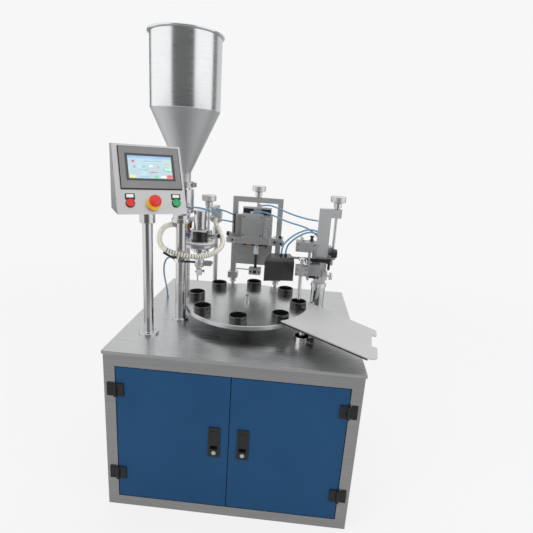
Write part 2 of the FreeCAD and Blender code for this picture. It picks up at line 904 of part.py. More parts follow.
def button(side):
    front_y = -button_ring_height - button_proud
    cap = face_post(side, button_up, front_y, front_y + button_cap_height, button_cap_r)
    stem = face_post(side, button_up, front_y + button_cap_height, button_stem_end, button_stem_r)
    return on_face(fuse(cap, stem))


def estop_base():
    side = button_sides()[1]
    disc = face_post(side, button_up, -estop_base_height, 0, estop_base_r)
    collar = face_post(side, button_up, -estop_neck_height, 0, estop_neck_r)
    neck = face_post(side, button_up, 0, switch_neck, button_hole_r - running_gap)
    contact = face_block(side, button_up, contact_width, contact_height,
                         switch_neck, switch_neck + contact_depth)
    bore = face_post(side, button_up, -estop_neck_height - 1, switch_neck + estop_travel + 3,
                     estop_stem_r + running_gap)
    return on_face(cut(fuse(disc, collar, neck, contact), bore))


def estop_stem():
    side = button_sides()[1]
    shoulder = -estop_neck_height - estop_travel - 1
    stem = face_post(side, button_up, shoulder, switch_neck, estop_stem_r)
    spigot = face_post(side, button_up, shoulder - estop_head_height / 2, shoulder, estop_stem_r - 2)
    return on_face(fuse(stem, spigot))


def estop_head():
    side = button_sides()[1]
    back = -estop_neck_height - estop_travel - 1 - slide_gap
    profile = [(0, 0), (estop_head_r * 0.7, 0), (estop_head_r, estop_head_height * 0.45),
               (estop_head_r, estop_head_height * 0.7), (estop_head_r * 0.8, estop_head_height * 0.92),
               (estop_head_r * 0.4, estop_head_height), (0, estop_head_height)]
    head = revolve(profile, 0, 0)
    head = head.cut(post(0, 0, -1, estop_head_height / 2 + slide_gap, estop_stem_r - 2 + running_gap))
    head.rotate(at(0, 0, 0), at(1, 0, 0), 90)
    head.translate(at(side, back, button_up))
    return on_face(head)


# Hopper, its clamp, the metering pump with its arm, and the column.
def hopper():
    w = hopper_wall
    ferrule_top = neck_bottom + ferrule_sheet
    neck_profile = [(neck_r - w, neck_bottom), (ferrule_r, neck_bottom), (ferrule_r, ferrule_top),
                    (neck_r, ferrule_top), (neck_r, cone_bottom), (neck_r - w, cone_bottom)]
    bowl_profile = [(neck_r - w, cone_bottom), (neck_r, cone_bottom), (hopper_r, hopper_bottom_z),
                    (hopper_r, hopper_top), (hopper_r - w, hopper_top),
                    (hopper_r - w, hopper_bottom_z + w / 2), (neck_r - w, cone_bottom + w / 2)]
    bead = Part.makeTorus(hopper_r + hopper_bead_r - w / 4, hopper_bead_r,
                          at(hopper_x, hopper_y, hopper_top - hopper_bead_r))
    bowl = fuse(revolve(bowl_profile, hopper_x, hopper_y), bead)
    return group(bowl, revolve(neck_profile, hopper_x, hopper_y))


def hopper_clamp():
    z_mid = neck_bottom
    z0, z1 = z_mid - clamp_height / 2, z_mid + clamp_height / 2
    ring = pipe(hopper_x, hopper_y, z0, z1, clamp_r, neck_r + slide_gap)
    ring = ring.cut(post(hopper_x, hopper_y, z_mid - ferrule_sheet, z_mid + ferrule_sheet, ferrule_r))
    lug_x = hopper_x + clamp_r - clamp_lug_lap
    half = clamp_lug_width / 2
    lug = block(lug_x, lug_x + clamp_lug_length, hopper_y - half, hopper_y + half,
                z0 + clamp_lug_lap, z1 - clamp_lug_lap)
    wing_x = lug_x + clamp_lug_length / 2
    wing = bar(at(wing_x, hopper_y - wing_front, z_mid), at(wing_x, hopper_y + wing_back, z_mid), wing_r)
    return fuse(ring, lug, wing)


def metering_pump():
    w = hopper_wall
    profile = [(neck_r - w, pump_top), (neck_r, pump_top), (neck_r, neck_bottom - ferrule_sheet),
               (ferrule_r, neck_bottom - ferrule_sheet), (ferrule_r, neck_bottom), (neck_r - w, neck_bottom)]
    neck = revolve(profile, hopper_x, hopper_y)
    body = post(hopper_x, hopper_y, column_top, pump_top, pump_r)
    body = body.cut(post(hopper_x, hopper_y, pump_top - pump_height / 2, pump_top + 1, neck_r - w))
    reach = math.hypot(hopper_x - column_x, hopper_y - column_y)
    beam = block(-arm_width / 2, arm_width / 2, 0, reach - pump_r / 2, column_top, column_top + arm_sheet)
    beam.rotate(at(0, 0, 0), up, math.degrees(math.atan2(column_x - hopper_x, hopper_y - column_y)))
    beam.translate(at(column_x, column_y, 0))
    end = post(column_x, column_y, column_top, column_top + arm_sheet, column_cap_r)
    return fuse(neck, body, beam, end, starting_socket(air_routes[0]))


def hopper_column():
    inner = column_r - column_wall
    parts = [pipe(column_x, column_y, table_height, column_top, column_r, inner),
             pipe(column_x, column_y, table_height, table_height + sleeve_height, sleeve_r, column_r - 1),
             pipe(column_x, column_y, table_height, table_height + column_flange_sheet, column_flange_r,
                  column_r - 1),
             pipe(column_x, column_y, column_top - column_ring_height, column_top, column_ring_r,
                  column_r - 1)]
    outlets = ((hose_route[0], conduit_r + 1), (air_routes[7][0], fitting_r))
    for (x_end, y_end, z), r in outlets:
        outlet = bar(at(column_x - column_r + 1, y_end, z), at(x_end + socket_reach / 2, y_end, z), r)
        parts.append(outlet.cut(post(column_x, column_y, z - 2 * r, z + 2 * r, column_r - 1)))
    parts.append(starting_socket(hose_route, conduit_r + 1))
    parts.append(starting_socket(air_routes[7]))
    return fuse(*parts)


# Height adjuster: a lobed knob on a neck that stands on a fixed arm, with its screw below.
def adjuster(x, y, arm_top, screw_bottom):
    neck_top = arm_top + slide_gap + knob_neck_height
    screw = post(x, y, screw_bottom, neck_top, screw_r)
    profile = [(0, arm_top + slide_gap), (knob_neck_r * 0.75, arm_top + slide_gap),
               (knob_neck_r, arm_top + knob_neck_height * 0.5), (knob_neck_r, neck_top), (0, neck_top)]
    neck = revolve(profile, x, y)
    disc = post(x, y, neck_top, neck_top + knob_height, knob_r)
    for px, py in flange_places(x, y, knob_r + knob_lobe_r * knob_lobe_place, knob_lobes, knob_lobe_start):
        disc = disc.cut(post(px, py, neck_top - 1, neck_top + knob_height + 1, knob_lobe_r))
    return fuse(screw, neck, disc)


def arm_between(start, end, width, z0, z1):
    reach = math.hypot(end[0] - start[0], end[1] - start[1])
    beam = block(-width / 2, width / 2, 0, reach, z0, z1)
    beam.rotate(at(0, 0, 0), up, math.degrees(math.atan2(start[0] - end[0], end[1] - start[1])))
    beam.translate(at(start[0], start[1], 0))
    return beam


# Filling station
fill_arm_top = fill_post_top + fill_arm_sheet


def fill_frame():
    pieces = []
    tie_top = fill_tie_z + fill_arm_sheet
    for (x, y), top in ((fill_post_left, tie_top), (fill_post_right, fill_post_top)):
        pieces.append(post(x, y, table_height, table_height + fill_foot_sheet, fill_foot_r))
        pieces.append(post(x, y, table_height, top, fill_post_r))
    x, y = fill_post_right
    pieces.append(centred_block(x, y, fill_block_width, fill_block_width, fill_post_top - fill_block_drop,
                                fill_post_top))
    pieces.append(arm_between(fill_post_right, fill_screw, fill_arm_width, fill_post_top, fill_arm_top))
    pieces.append(post(fill_screw[0], fill_screw[1], fill_post_top, fill_arm_top, fill_arm_width / 2))
    pieces.append(arm_between(fill_post_right, fill_post_left, 1.6 * fill_post_r, fill_tie_z, tie_top))
    pieces += [ending_socket(hose_route, conduit_r + 1), ending_socket(air_routes[0]),
               starting_socket(air_routes[1]), starting_socket(air_routes[2])]
    frame = fuse(*pieces)
    return frame.cut(post(fill_screw[0], fill_screw[1], fill_post_top - 1, fill_arm_top + 1,
                          screw_r + running_gap))


def fill_carriage():
    nozzle_x, nozzle_y = station(4)
    centre = (fill_x, fill_y)
    z0, z1 = fill_disc_z, fill_disc_z + fill_disc_sheet
    boss_z0 = z1 - fill_boss_height / 4
    pieces = [post(fill_x, fill_y, z0, z1, fill_disc_r)]
    bores = [post(nozzle_x, nozzle_y, z0 - 1, z1 + 1, nozzle_stem_r + running_gap)]
    places = ((fill_post_left, fill_boss_r, fill_post_r), (fill_post_right, fill_boss_r, fill_post_r),
              (fill_screw, fill_boss_r, screw_r))
    for place, boss_r, shaft in places:
        pieces.append(arm_between(centre, place, fill_arm_width, z0, z1))
        pieces.append(post(place[0], place[1], boss_z0, boss_z0 + fill_boss_height, boss_r))
        bores.append(post(place[0], place[1], boss_z0 - 1, boss_z0 + fill_boss_height + 1,
                          shaft + running_gap))
    return cut(fuse(*pieces), *bores)


def fill_valve():
    nozzle_x, nozzle_y = station(4)
    z = fill_disc_z + fill_disc_sheet
    bore = post(nozzle_x, nozzle_y, fill_disc_z - valve_lower_height - 1, z + nozzle_travel,
                nozzle_stem_r + running_gap)
    lower = post(fill_x, fill_y, fill_disc_z - valve_lower_height, fill_disc_z, valve_lower_r).cut(bore)
    actuator = post(fill_x, fill_y, z, z + actuator_height, actuator_r).cut(bore)
    z += actuator_height
    plate = centred_block(fill_x, fill_y, valve_plate_width, valve_plate_width, z, z + valve_plate_sheet)
    z += valve_plate_sheet
    cylinder = post(fill_x, fill_y, z, z + valve_cylinder_height, valve_cylinder_r)
    return group(lower, actuator, plate, cylinder)


def nozzle():
    x, y = station(4)
    block_top = nozzle_block_z + nozzle_block_height
    stem_top = fill_disc_z + fill_disc_sheet + nozzle_stem_share * nozzle_travel
    stem = post(x, y, nozzle_block_z, stem_top, nozzle_stem_r)
    body = Part.makeCone(nozzle_tip_r + 1, nozzle_body_r, nozzle_block_z - nozzle_tip_top,
                         at(x, y, nozzle_tip_top))
    tip = post(x, y, nozzle_bottom, nozzle_tip_top, nozzle_tip_r)
    collar = post(x, y, nozzle_block_z, block_top, nozzle_body_r + nozzle_collar_wall)
    lever = block(x, x + nozzle_lever, y - nozzle_lever_width / 2, y + nozzle_lever_width / 2,
                  nozzle_block_z, block_top)
    return fuse(stem, body, tip, collar, lever)


# Closing station: portal on two posts, sliding carriage with the press cylinder, press head.
def cap_legs():
    return [cap_x + s * cap_leg_spacing / 2 for s in (-1, 1)]


def cap_frame():
    y = cap_portal_y
    width = cap_leg_spacing + cap_leg
    pieces = [centred_block(cap_x, y, width, cap_leg, cap_portal_top - cap_beam, cap_portal_top)]
    for x in cap_legs():
        pieces.append(centred_block(x, y, cap_leg, cap_leg, cap_leg_bottom, cap_portal_top))
        clamp_z = cap_leg_bottom - cap_foot_clamp_height / 2
        pieces.append(centred_block(x, y, cap_foot_clamp, cap_foot_clamp,
                                    clamp_z, clamp_z + cap_foot_clamp_height))
        pieces.append(post(x, y, table_height, cap_leg_bottom, cap_post_r))
        pieces.append(post(x, y, table_height, table_height + cap_post_flange_sheet, cap_post_flange_r))
    frame = fuse(*pieces, ending_socket(air_routes[1]), ending_socket(air_routes[2]))
    return frame.cut(post(cap_x, y, cap_portal_top - cap_beam - 1, cap_portal_top + 1, screw_r + running_gap))


cap_plate_back = cap_portal_y - cap_leg / 2 - slide_gap
cap_plate_front = cap_plate_back - cap_plate_depth
cap_plate_top = cap_plate_z + cap_plate_sheet


def cap_carriage():
    press_x, press_y = station(2)
    width = cap_leg_spacing + cap_foot_clamp
    z0, z1 = cap_plate_z, cap_plate_top
    plate = block(cap_x - width / 2, cap_x + width / 2, cap_plate_front, cap_plate_back, z0, z1)
    pieces = [plate]
    bores = [post(press_x, press_y, z0 - 1, z1 + 1, press_rod_r + running_gap),
             post(cap_x, cap_portal_y, z0 - 1, z1 + 1, screw_r + running_gap)]
    for x in cap_legs():
        pieces.append(centred_block(x, cap_portal_y, cap_foot_clamp, cap_foot_clamp, z0, z1))
        bores.append(centred_block(x, cap_portal_y, cap_leg + 2 * slide_gap, cap_leg + 2 * slide_gap,
                                   z0 - 1, z1 + 1))
    pieces.append(block(cap_x - cap_nut_width / 2, cap_x + cap_nut_width / 2, cap_plate_back - cap_nut_lap,
                        cap_portal_y + cap_nut_reach, z0, z1))
    back = block(cap_back_x - cap_back_width / 2, cap_back_x + cap_back_width / 2,
                 cap_plate_back - cap_back_sheet, cap_plate_back, z0 - cap_back_height, z1)
    return cut(fuse(*pieces, back), *bores)


def cap_cylinder():
    press_x, press_y = station(2)
    z0 = cap_plate_top
    x0 = cap_x - cap_head_width / 2
    x1 = x0 + cap_block_width
    back = cap_plate_back - cap_block_inset
    block_top = z0 + cap_block_height
    front_block = block(x0, x1, cap_plate_front, back, z0, block_top)
    side_block = block(x1, x1 + cap_block_side, cap_plate_front + cap_side_step, back,
                       z0, block_top - cap_side_drop)
    left_block = block(x0 - cap_left_width, x0, cap_plate_back - cap_left_reach, back,
                       z0 + cap_left_rise, block_top - cap_left_drop)
    head_top = block_top + cap_head_height
    head = block(x0, x0 + cap_head_width, cap_plate_back - cap_head_reach, back, z0, head_top)
    fittings = []
    for route, base in ((air_routes[3], head_top), (air_routes[4], block_top)):
        x, y, z = route[0]
        fittings.append(post(x - socket_reach, y, base - 1, z + fitting_r, fitting_r))
        fittings.append(starting_socket(route))
    bore = post(press_x, press_y, z0 - 1, z0 + cap_block_height / 2, press_rod_r + running_gap)
    return fuse(front_block, side_block, left_block, head, *fittings).cut(bore)


def press_head():
    x, y = station(2)
    top = press_bottom + press_block_height
    rod = post(x, y, top, cap_plate_top + cap_block_height / 4, press_rod_r)
    nut = post(x, y, cap_plate_z - press_nut_drop, cap_plate_z - press_travel / 2,
               press_rod_r + press_nut_wall)
    foot = centred_block(x, y, press_block_width, press_block_depth, press_bottom, top)
    pocket = block(x - press_pocket_width / 2, x + press_pocket_width / 2, y - press_block_depth,
                   y - press_block_depth / 2 + press_pocket_depth, press_bottom + press_pocket_floor,
                   top - press_pocket_roof)
    finger_y = y + press_block_depth / 2 - finger_r
    finger_end = cap_legs()[0] + cap_leg / 2 + slide_gap
    finger_z = press_bottom + finger_rise
    finger = bar(at(x, finger_y, finger_z), at(finger_end, finger_y, finger_z), finger_r)
    return fuse(rod, nut, foot, finger).cut(pocket)


# Ejecting station
def eject_frame():
    x, y = eject_x, eject_y
    flange = post(x, y, table_height, table_height + eject_flange_sheet, eject_flange_r)
    column = post(x, y, table_height, eject_bar_bottom, eject_column_r)
    upright = centred_block(x, y, eject_bar, eject_bar_depth, eject_bar_bottom, eject_top)
    arm = block(x - eject_bar / 2, eject_arm_reach, y - eject_bar_depth / 2, y + eject_bar_depth / 2,
                eject_top - eject_arm_sheet, eject_top)
    bore = post(eject_screw_x, y, eject_top - eject_arm_sheet - 1, eject_top + 1, screw_r + running_gap)
    sockets = [ending_socket(route) for route in air_routes[3:5]]
    sockets += [starting_socket(route) for route in air_routes[5:7]]
    return fuse(flange, column, upright, arm, *sockets).cut(bore)


def eject_carriage():
    x, y = eject_x, eject_y
    rod_x, rod_y = station(0)
    z0, z1 = eject_carriage_z, eject_carriage_z + eject_carriage_height
    left, right = x - eject_bar / 2 - slide_gap, x + eject_bar / 2 + slide_gap
    y_front, y_back = y - eject_bar_depth / 2, y + eject_bar_depth / 2 + slide_gap
    wall = eject_carriage_wall
    cheeks = [block(left - wall, left, y_front, y_back + wall, z0, z1),
              block(right, right + wall, y_front, y_back + wall, z0, z1),
              block(left - wall, right + wall, y_back, y_back + wall, z0, z1),
              block(right, eject_screw_x + eject_nut_half, y - eject_nut_half, y + eject_nut_half,
                    z0 + eject_nut_inset, z1 - eject_nut_inset)]
    step_y, front_y = rod_y + eject_block_step, y_front - eject_front_step
    upper = block(left - wall - eject_block_width, left, step_y, y_front + wall, eject_block_z,
                  eject_block_z + eject_block_height)
    drop_x = rod_x + eject_cylinder_width / 2
    lower = centred_block(rod_x, rod_y, eject_cylinder_width, eject_cylinder_width, eject_cylinder_z,
                          eject_cylinder_z + eject_cylinder_height)
    drop = block(drop_x, drop_x + eject_drop_sheet, rod_y - eject_drop_reach, front_y,
                 eject_cylinder_z - eject_drop_below, eject_block_z + eject_drop_lap)
    side = block(drop_x, drop_x + eject_side_width, step_y, front_y,
                 eject_cylinder_z - eject_side_below, eject_cylinder_z + eject_side_above)
    arm_z = z0 + eject_strap_rise
    arm = block(drop_x, right + wall, y_front - eject_strap_reach, front_y, arm_z, arm_z + eject_strap_height)
    bracket = block(left - wall, left, y_front - eject_strap_reach, y_front + 1, z0, z1)
    whole = fuse(*cheeks, upper, lower, drop, side, arm, bracket)
    rod_bore = post(rod_x, rod_y, eject_cylinder_z - 1, eject_cylinder_z + eject_cylinder_height + 1,
                    eject_rod_r + running_gap)
    nut_bore = post(eject_screw_x, y, z0 - 1, z1 + 1, screw_r + running_gap)
    return cut(whole, rod_bore, nut_bore)


def eject_rod():
    x, y = station(0)
    top = eject_cylinder_z + eject_cylinder_height + eject_rod_travel
    rod = post(x, y, cup_top + eject_rod_gap, top, eject_rod_r)
    return fuse(rod, post(x, y, top, top + eject_head_height, eject_rod_r + eject_head_wall))


def guard_sheet():
    t = guard_thickness
    bend = guard_bend
    z_bend = guard_bottom + guard_height
    top = z_bend + bend
    face = block(0, guard_width, 0, t, guard_bottom, z_bend)
    flange = block(guard_corner, guard_width, bend, bend + guard_flange, top - t, top)
    outer = Part.makeCylinder(bend, guard_width, at(0, bend, z_bend), at(1, 0, 0))
    inner = Part.makeCylinder(bend - t, guard_width, at(0, bend, z_bend), at(1, 0, 0))
    quarter = block(0, guard_width, 0, bend, z_bend, top)
    sheet = fuse(face, flange, outer.cut(inner).common(quarter))
    corner = prism([(-1, -1, z_bend - guard_corner_lap), (-1, -1, top + bend),
                    (guard_corner, -1, top + bend)], at(0, 2 * bend, 0))
    sheet = sheet.cut(corner)
    sheet.rotate(at(0, 0, 0), up, guard_yaw)
    sheet.translate(at(guard_x, guard_y, 0))
    tab_x = station(0)[0] + eject_cylinder_width / 2
    bar_front = eject_y - eject_bar_depth / 2
    y0, y1 = bar_front - eject_strap_reach, bar_front - eject_front_step
    ear = block(tab_x - guard_ear, tab_x, y0, y1, top - t, top)
    tab = block(tab_x - t, tab_x, y0, y1, top - guard_tab_height, top)
    sockets = [ending_socket(route, fitting_r) for route in air_routes[5:7]]
    return fuse(sheet, ear, tab, *sockets)


# Delivery tray beside the dial, on its own short post.
def tray():
    z = dial_top + tray_rise
    corners = [at(x, y, z) for x, y in (tray_near_front, tray_end_front, tray_end_back, tray_near_back)]
    near_front, end_front, end_back, near_back = corners
    along = end_back - end_front
    inward = at(-along.y, along.x, 0).normalize() * tray_notch_depth
    notch_start = end_front + along * tray_notch_start
    notch_end = end_front + along * tray_notch_end
    points = [near_front, end_front, notch_start, notch_start + inward, notch_end + inward, notch_end,
              end_back, near_back]
    plate = prism([(p.x, p.y, p.z) for p in points], at(0, 0, tray_sheet))
    plate = plate.cut(post(dial_x, dial_y, z - 1, z + tray_sheet + 1, dial_r + tray_dial_gap))
    rounds = ((end_front, tray_corner_r), (notch_start, tray_notch_r), (notch_end, tray_notch_r),
              (notch_start + inward, tray_notch_r), (notch_end + inward, tray_notch_r),
              (end_back, tray_corner_r))
    for p, r in rounds:
        plate = plate.makeFillet(r, [edge for edge in plate.Edges if is_upright(edge, p.x, p.y)])
    return plate


def is_upright(edge, x, y):
    return all(abs(v.X - x) < 0.2 and abs(v.Y - y) < 0.2 for v in edge.Vertexes)


def tray_post():
    x, y = tray_post_x, tray_post_y
    top = dial_top + tray_rise
    collar = post(x, y, table_height, table_height + tray_collar_height, tray_collar_r)
    stem = post(x, y, table_height, top, tray_post_r)
    plate = centred_block(x, y, tray_pad_width, tray_pad_depth, top - tray_sheet, top)
    plate.rotate(at(x, y, 0), up, tray_turn)
    screw_z = table_height + tray_collar_height / 2
    set_screw = bar(at(x, y, screw_z), at(x + tray_collar_r + tray_screw_length, y, screw_z), tray_screw_r)
    return fuse(collar, stem, plate, set_screw)


# Hoses and air lines: straight runs joined by tangent arcs as large as the runs allow.
def tube(name, points, r):
    route = [at(*p) for p in points]
    edges = []
    start = route[0]
    tightest = None
    for before, corner, after in zip(route, route[1:], route[2:]):
        come, go = corner - before, after - corner
        turn = come.getAngle(go)
        setback = 0.45 * min(come.Length, go.Length)
        radius = setback / math.tan(turn / 2)
        tightest = radius if tightest is None else min(tightest, radius)
        into, away = come.normalize(), go.normalize()
        a, b = corner - into * setback, corner + away * setback
        middle = corner + (away - into).normalize() * (math.hypot(radius, setback) - radius)
        edges.append(Part.makeLine(start, a))
        edges.append(Part.Arc(a, middle, b).toShape())
        start = b
    edges.append(Part.makeLine(start, route[-1]))
    path = Part.Wire(edges)
    ring = Part.Wire([Part.makeCircle(r, route[0], route[1] - route[0])])
    solid = path.makePipeShell([ring], True, False)
    exact = math.pi * r * r * path.Length
    print(name, "length", round(path.Length, 1), "radius", round(tightest, 1),
          "volume ratio", round(solid.Volume / exact, 4))
    return solid


save("cabinet_frame", cabinet_frame())
save("table_top", table_top())
save("cabinet_panels", cabinet_panels())
for name, side in (("left", -1), ("right", 1)):
    save("door_" + name, door(side))
    save("door_hinges_" + name, group(*[door_hinge(side, z) for z in hinge_zs]))
    save("latch_housing_" + name, latch_housing(side))
    save("latch_handle_" + name, latch_handle(side))
    save("lock_cylinder_" + name, lock_cylinder(side))
save("frame_hinges", group(*[frame_hinge(side, z) for side in (-1, 1) for z in hinge_zs]))
save("index_gearbox", index_gearbox())
save("drive_motor", drive_motor())
save("dial_shaft", dial_shaft())
save("dial_plate", dial_plate())
save("cups", cups())
save("electrical_rack", electrical_rack())
save("control_post", control_post())
save("control_box", control_box())
save("box_back_cover", box_back_cover())
save("touch_panel", touch_panel())
save("switch_bodies", switch_bodies())
save("stop_button", button(button_sides()[0]))
save("start_button", button(button_sides()[2]))
save("estop_base", estop_base())
save("estop_stem", estop_stem())
save("estop_head", estop_head())
save("hopper", hopper())
save("hopper_clamp", hopper_clamp())
save("metering_pump", metering_pump())
save("hopper_column", hopper_column())
save("fill_frame", fill_frame())
save("fill_knob", adjuster(fill_screw[0], fill_screw[1], fill_arm_top, fill_disc_z - fill_screw_below))
save("fill_carriage", fill_carriage())
save("fill_valve", fill_valve())
save("nozzle", nozzle())
save("cap_frame", cap_frame())
save("cap_knob", adjuster(cap_x, cap_portal_y, cap_portal_top, cap_plate_z - cap_screw_below))
save("cap_carriage", cap_carriage())
save("cap_cylinder", cap_cylinder())
save("press_head", press_head())
save("eject_frame", eject_frame())
save("eject_knob", adjuster(eject_screw_x, eject_y, eject_top, eject_screw_bottom))
save("eject_carriage", eject_carriage())
save("eject_rod", eject_rod())
save("guard_sheet", guard_sheet())
save("tray", tray())
save("tray_post", tray_post())
save("ribbed_hose", tube("ribbed_hose", hose_route, conduit_r))
for number, route in enumerate(air_routes, 1):
    name = "air_line_%d" % number
    save(name, tube(name, route, air_line_r))
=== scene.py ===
import math

import bmesh
import bpy
from mathutils import Matrix, Vector


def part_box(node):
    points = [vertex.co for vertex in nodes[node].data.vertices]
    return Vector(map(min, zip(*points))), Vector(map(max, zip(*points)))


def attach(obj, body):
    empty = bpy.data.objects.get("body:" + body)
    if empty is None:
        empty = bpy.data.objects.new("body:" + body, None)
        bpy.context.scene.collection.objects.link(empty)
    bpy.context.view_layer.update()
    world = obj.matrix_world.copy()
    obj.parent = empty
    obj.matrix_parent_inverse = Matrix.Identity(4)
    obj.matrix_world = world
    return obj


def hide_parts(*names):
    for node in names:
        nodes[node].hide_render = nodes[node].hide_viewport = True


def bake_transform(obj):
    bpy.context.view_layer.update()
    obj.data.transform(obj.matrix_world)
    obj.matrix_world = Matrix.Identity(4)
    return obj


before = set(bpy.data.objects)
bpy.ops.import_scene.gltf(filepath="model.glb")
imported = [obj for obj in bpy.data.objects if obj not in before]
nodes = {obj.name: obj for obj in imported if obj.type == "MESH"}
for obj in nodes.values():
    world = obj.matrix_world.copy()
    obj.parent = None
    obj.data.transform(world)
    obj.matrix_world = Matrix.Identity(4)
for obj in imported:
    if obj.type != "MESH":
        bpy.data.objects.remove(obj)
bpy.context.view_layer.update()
print("frame loaded:", len(nodes), "nodes")

mm = 0.001
upward, outward = (0, 0, 1), (0, -1, 0)


# small makers shared by all pieces
def linkObject(name, data, smooth=False):
    obj = bpy.data.objects.new(name, data)
    bpy.context.scene.collection.objects.link(obj)
    if smooth:
        data.polygons.foreach_set("use_smooth", [True] * len(data.polygons))
    return obj


def bmObject(name, bm):
    bmesh.ops.recalc_face_normals(bm, faces=bm.faces)
    mesh = bpy.data.meshes.new(name)
    bm.to_mesh(mesh)
    bm.free()
    mesh.transform(Matrix.Scale(mm, 4))
    return linkObject(name, mesh)


def sharpByAngle(obj, degrees):
    mesh = obj.data
    mesh.polygons.foreach_set("use_smooth", [True] * len(mesh.polygons))
    mesh.set_sharp_from_angle(angle=math.radians(degrees))


def circle(r, sides, x=0, y=0):
    turns = [2 * math.pi * i / sides for i in range(sides)]
    return [(x + r * math.cos(t), y + r * math.sin(t)) for t in turns]


def skin(bm, rings, closed=False):
    # faces between neighbouring rings of as many points
    for a, b in zip(rings, rings[1:] + rings[:1] if closed else rings[1:]):
        for i in range(len(a)):
            j = (i + 1) % len(a)
            bm.faces.new((a[i], a[j], b[j], b[i]))


def addBox(bm, low, high, matrix=Matrix()):
    centre = (Vector(low) + Vector(high)) / 2
    size = Vector(high) - Vector(low)
    place = Matrix.Translation(centre) @ Matrix.Diagonal((*size, 1))
    bmesh.ops.create_cube(bm, size=1, matrix=matrix @ place)


def addRod(bm, start, end, r, sides=24):
    start, end = Vector(start), Vector(end)
    way = end - start
    place = Matrix.Translation((start + end) / 2) @ way.to_track_quat("Z", "Y").to_matrix().to_4x4()
    bmesh.ops.create_cone(bm, cap_ends=True, segments=sides, radius1=r, radius2=r, depth=way.length,
        matrix=place)


def addLathe(bm, profile, x, y, sides=64):
    # profile is a closed ring of (radius, height)
    rings = []
    for r, z in profile:
        points = [(x, y)] if r < 1e-6 else circle(r, sides, x, y)
        rings.append([bm.verts.new((*point, z)) for point in points])
    for a, b in zip(rings, rings[1:] + rings[:1]):
        if len(a) == 1 and len(b) == 1:
            continue
        for i in range(sides):
            j = (i + 1) % sides
            ring = [a[i % len(a)], a[j % len(a)], b[j % len(b)], b[i % len(b)]]
            unique = list(dict.fromkeys(ring))
            if len(unique) > 2:
                bm.faces.new(unique)


def baked(obj):
    bpy.context.view_layer.update()
    return bpy.data.meshes.new_from_object(obj.evaluated_get(bpy.context.evaluated_depsgraph_get()))


def bake(obj):
    mesh = baked(obj)
    obj.modifiers.clear()
    mesh.name, obj.data = obj.data.name, mesh
    return obj


def bevelled(obj, width, segments=2, degrees=40):
    mod = obj.modifiers.new("edge", "BEVEL")
    mod.width = width * mm
    mod.segments = segments
    mod.limit_method = "ANGLE"
    mod.angle_limit = math.radians(degrees)
    mod.harden_normals = False
    return bake(obj)


def finished(obj, label, body, degrees=35, replaced=None):
    # label: the finish, with the colour slot after it where that isn't the usual one; the slot is not used
    finish, _, slot = label.partition(" ")
    obj.data.materials.clear()
    obj.data.materials.append(finishes[finish])
    if degrees:
        sharpByAngle(obj, degrees)
    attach(obj, body)
    if replaced:
        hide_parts(replaced)
    return obj


def dress(body, rows, matrix=Matrix()):
    # rows of name, label, edge and shapes: a shape of two corners is a box, one with a radius is a rod
    for name, label, edge, shapes in rows:
        bm = bmesh.new()
        for shape in shapes:
            if len(shape) == 2:
                addBox(bm, *shape, matrix)
            else:
                addRod(bm, *shape, 32)
        finished(bevelled(bmObject(name, bm), edge), label, body)


def turned(name, profile, x, y, label, body, replaced=None, sides=72, extra=None, degrees=38):
    bm = bmesh.new()
    addLathe(bm, profile, x, y, sides)
    if extra:
        extra(bm)
    return finished(bmObject(name, bm), label, body, degrees, replaced)


# materials
finishes = {}


def fill(tree, socket, value):
    if isinstance(value, bpy.types.NodeSocket):
        tree.links.new(value, socket)
    elif value is not None:
        socket.default_value = value


def node(tree, kind, values=(), **named):
    # named: settings and inputs by name; values: the first inputs in order
    made = tree.nodes.new(kind)
    for key, value in named.items():
        if key in made.inputs:
            fill(tree, made.inputs[key], value)
        else:
            setattr(made, key, value)
    for socket, value in zip(made.inputs, values):
        fill(tree, socket, value)
    return made


def newMaterial(name, settings):
    mat = bpy.data.materials.new(name)
    mat.use_nodes = True
    tree = mat.node_tree
    shader = tree.nodes["Principled BSDF"]
    for key, value in settings.items():
        shader.inputs[key].default_value = value
    return mat, tree, shader


def objectSpace(tree, scale=(1, 1, 1), place=(0, 0, 0)):
    coord = node(tree, "ShaderNodeTexCoord").outputs["Object"]
    return node(tree, "ShaderNodeMapping", (coord, place, None, scale)).outputs["Vector"]


def noise(tree, scale, detail, vector):
    return node(tree, "ShaderNodeTexNoise", Scale=scale, Detail=detail, Vector=vector).outputs["Fac"]


def calc(tree, operation, *values):
    return node(tree, "ShaderNodeMath", values, operation=operation).outputs[0]


def blended(tree, factor, a, b):
    # colours or grey levels, mixed by a factor
    mix = node(tree, "ShaderNodeMix", (factor,), data_type="RGBA")
    for value, socket in ((a, mix.inputs[6]), (b, mix.inputs[7])):
        if isinstance(value, float):
            value = (value, value, value)
        fill(tree, socket, (*value, 1) if isinstance(value, tuple) else value)
    return mix.outputs[2]


def spread(tree, value, low, high, fromLow=0.3, fromHigh=0.7):
    return node(tree, "ShaderNodeMapRange", (value, fromLow, fromHigh, low, high)).outputs["Result"]


def toned(tree, factor, colour, change, *sockets):
    # a colour that wanders lighter and darker with the factor
    pair = [tuple(min(1.0, c * (1 + s * change)) for c in colour) for s in (-1, 1)]
    mix = blended(tree, spread(tree, factor, 0, 1), *pair)
    for socket in sockets:
        tree.links.new(mix, socket)


def bumped(tree, shader, factor, strength, distance):
    bump = node(tree, "ShaderNodeBump", Strength=strength, Distance=distance, Height=factor)
    tree.links.new(bump.outputs["Normal"], shader.inputs["Normal"])


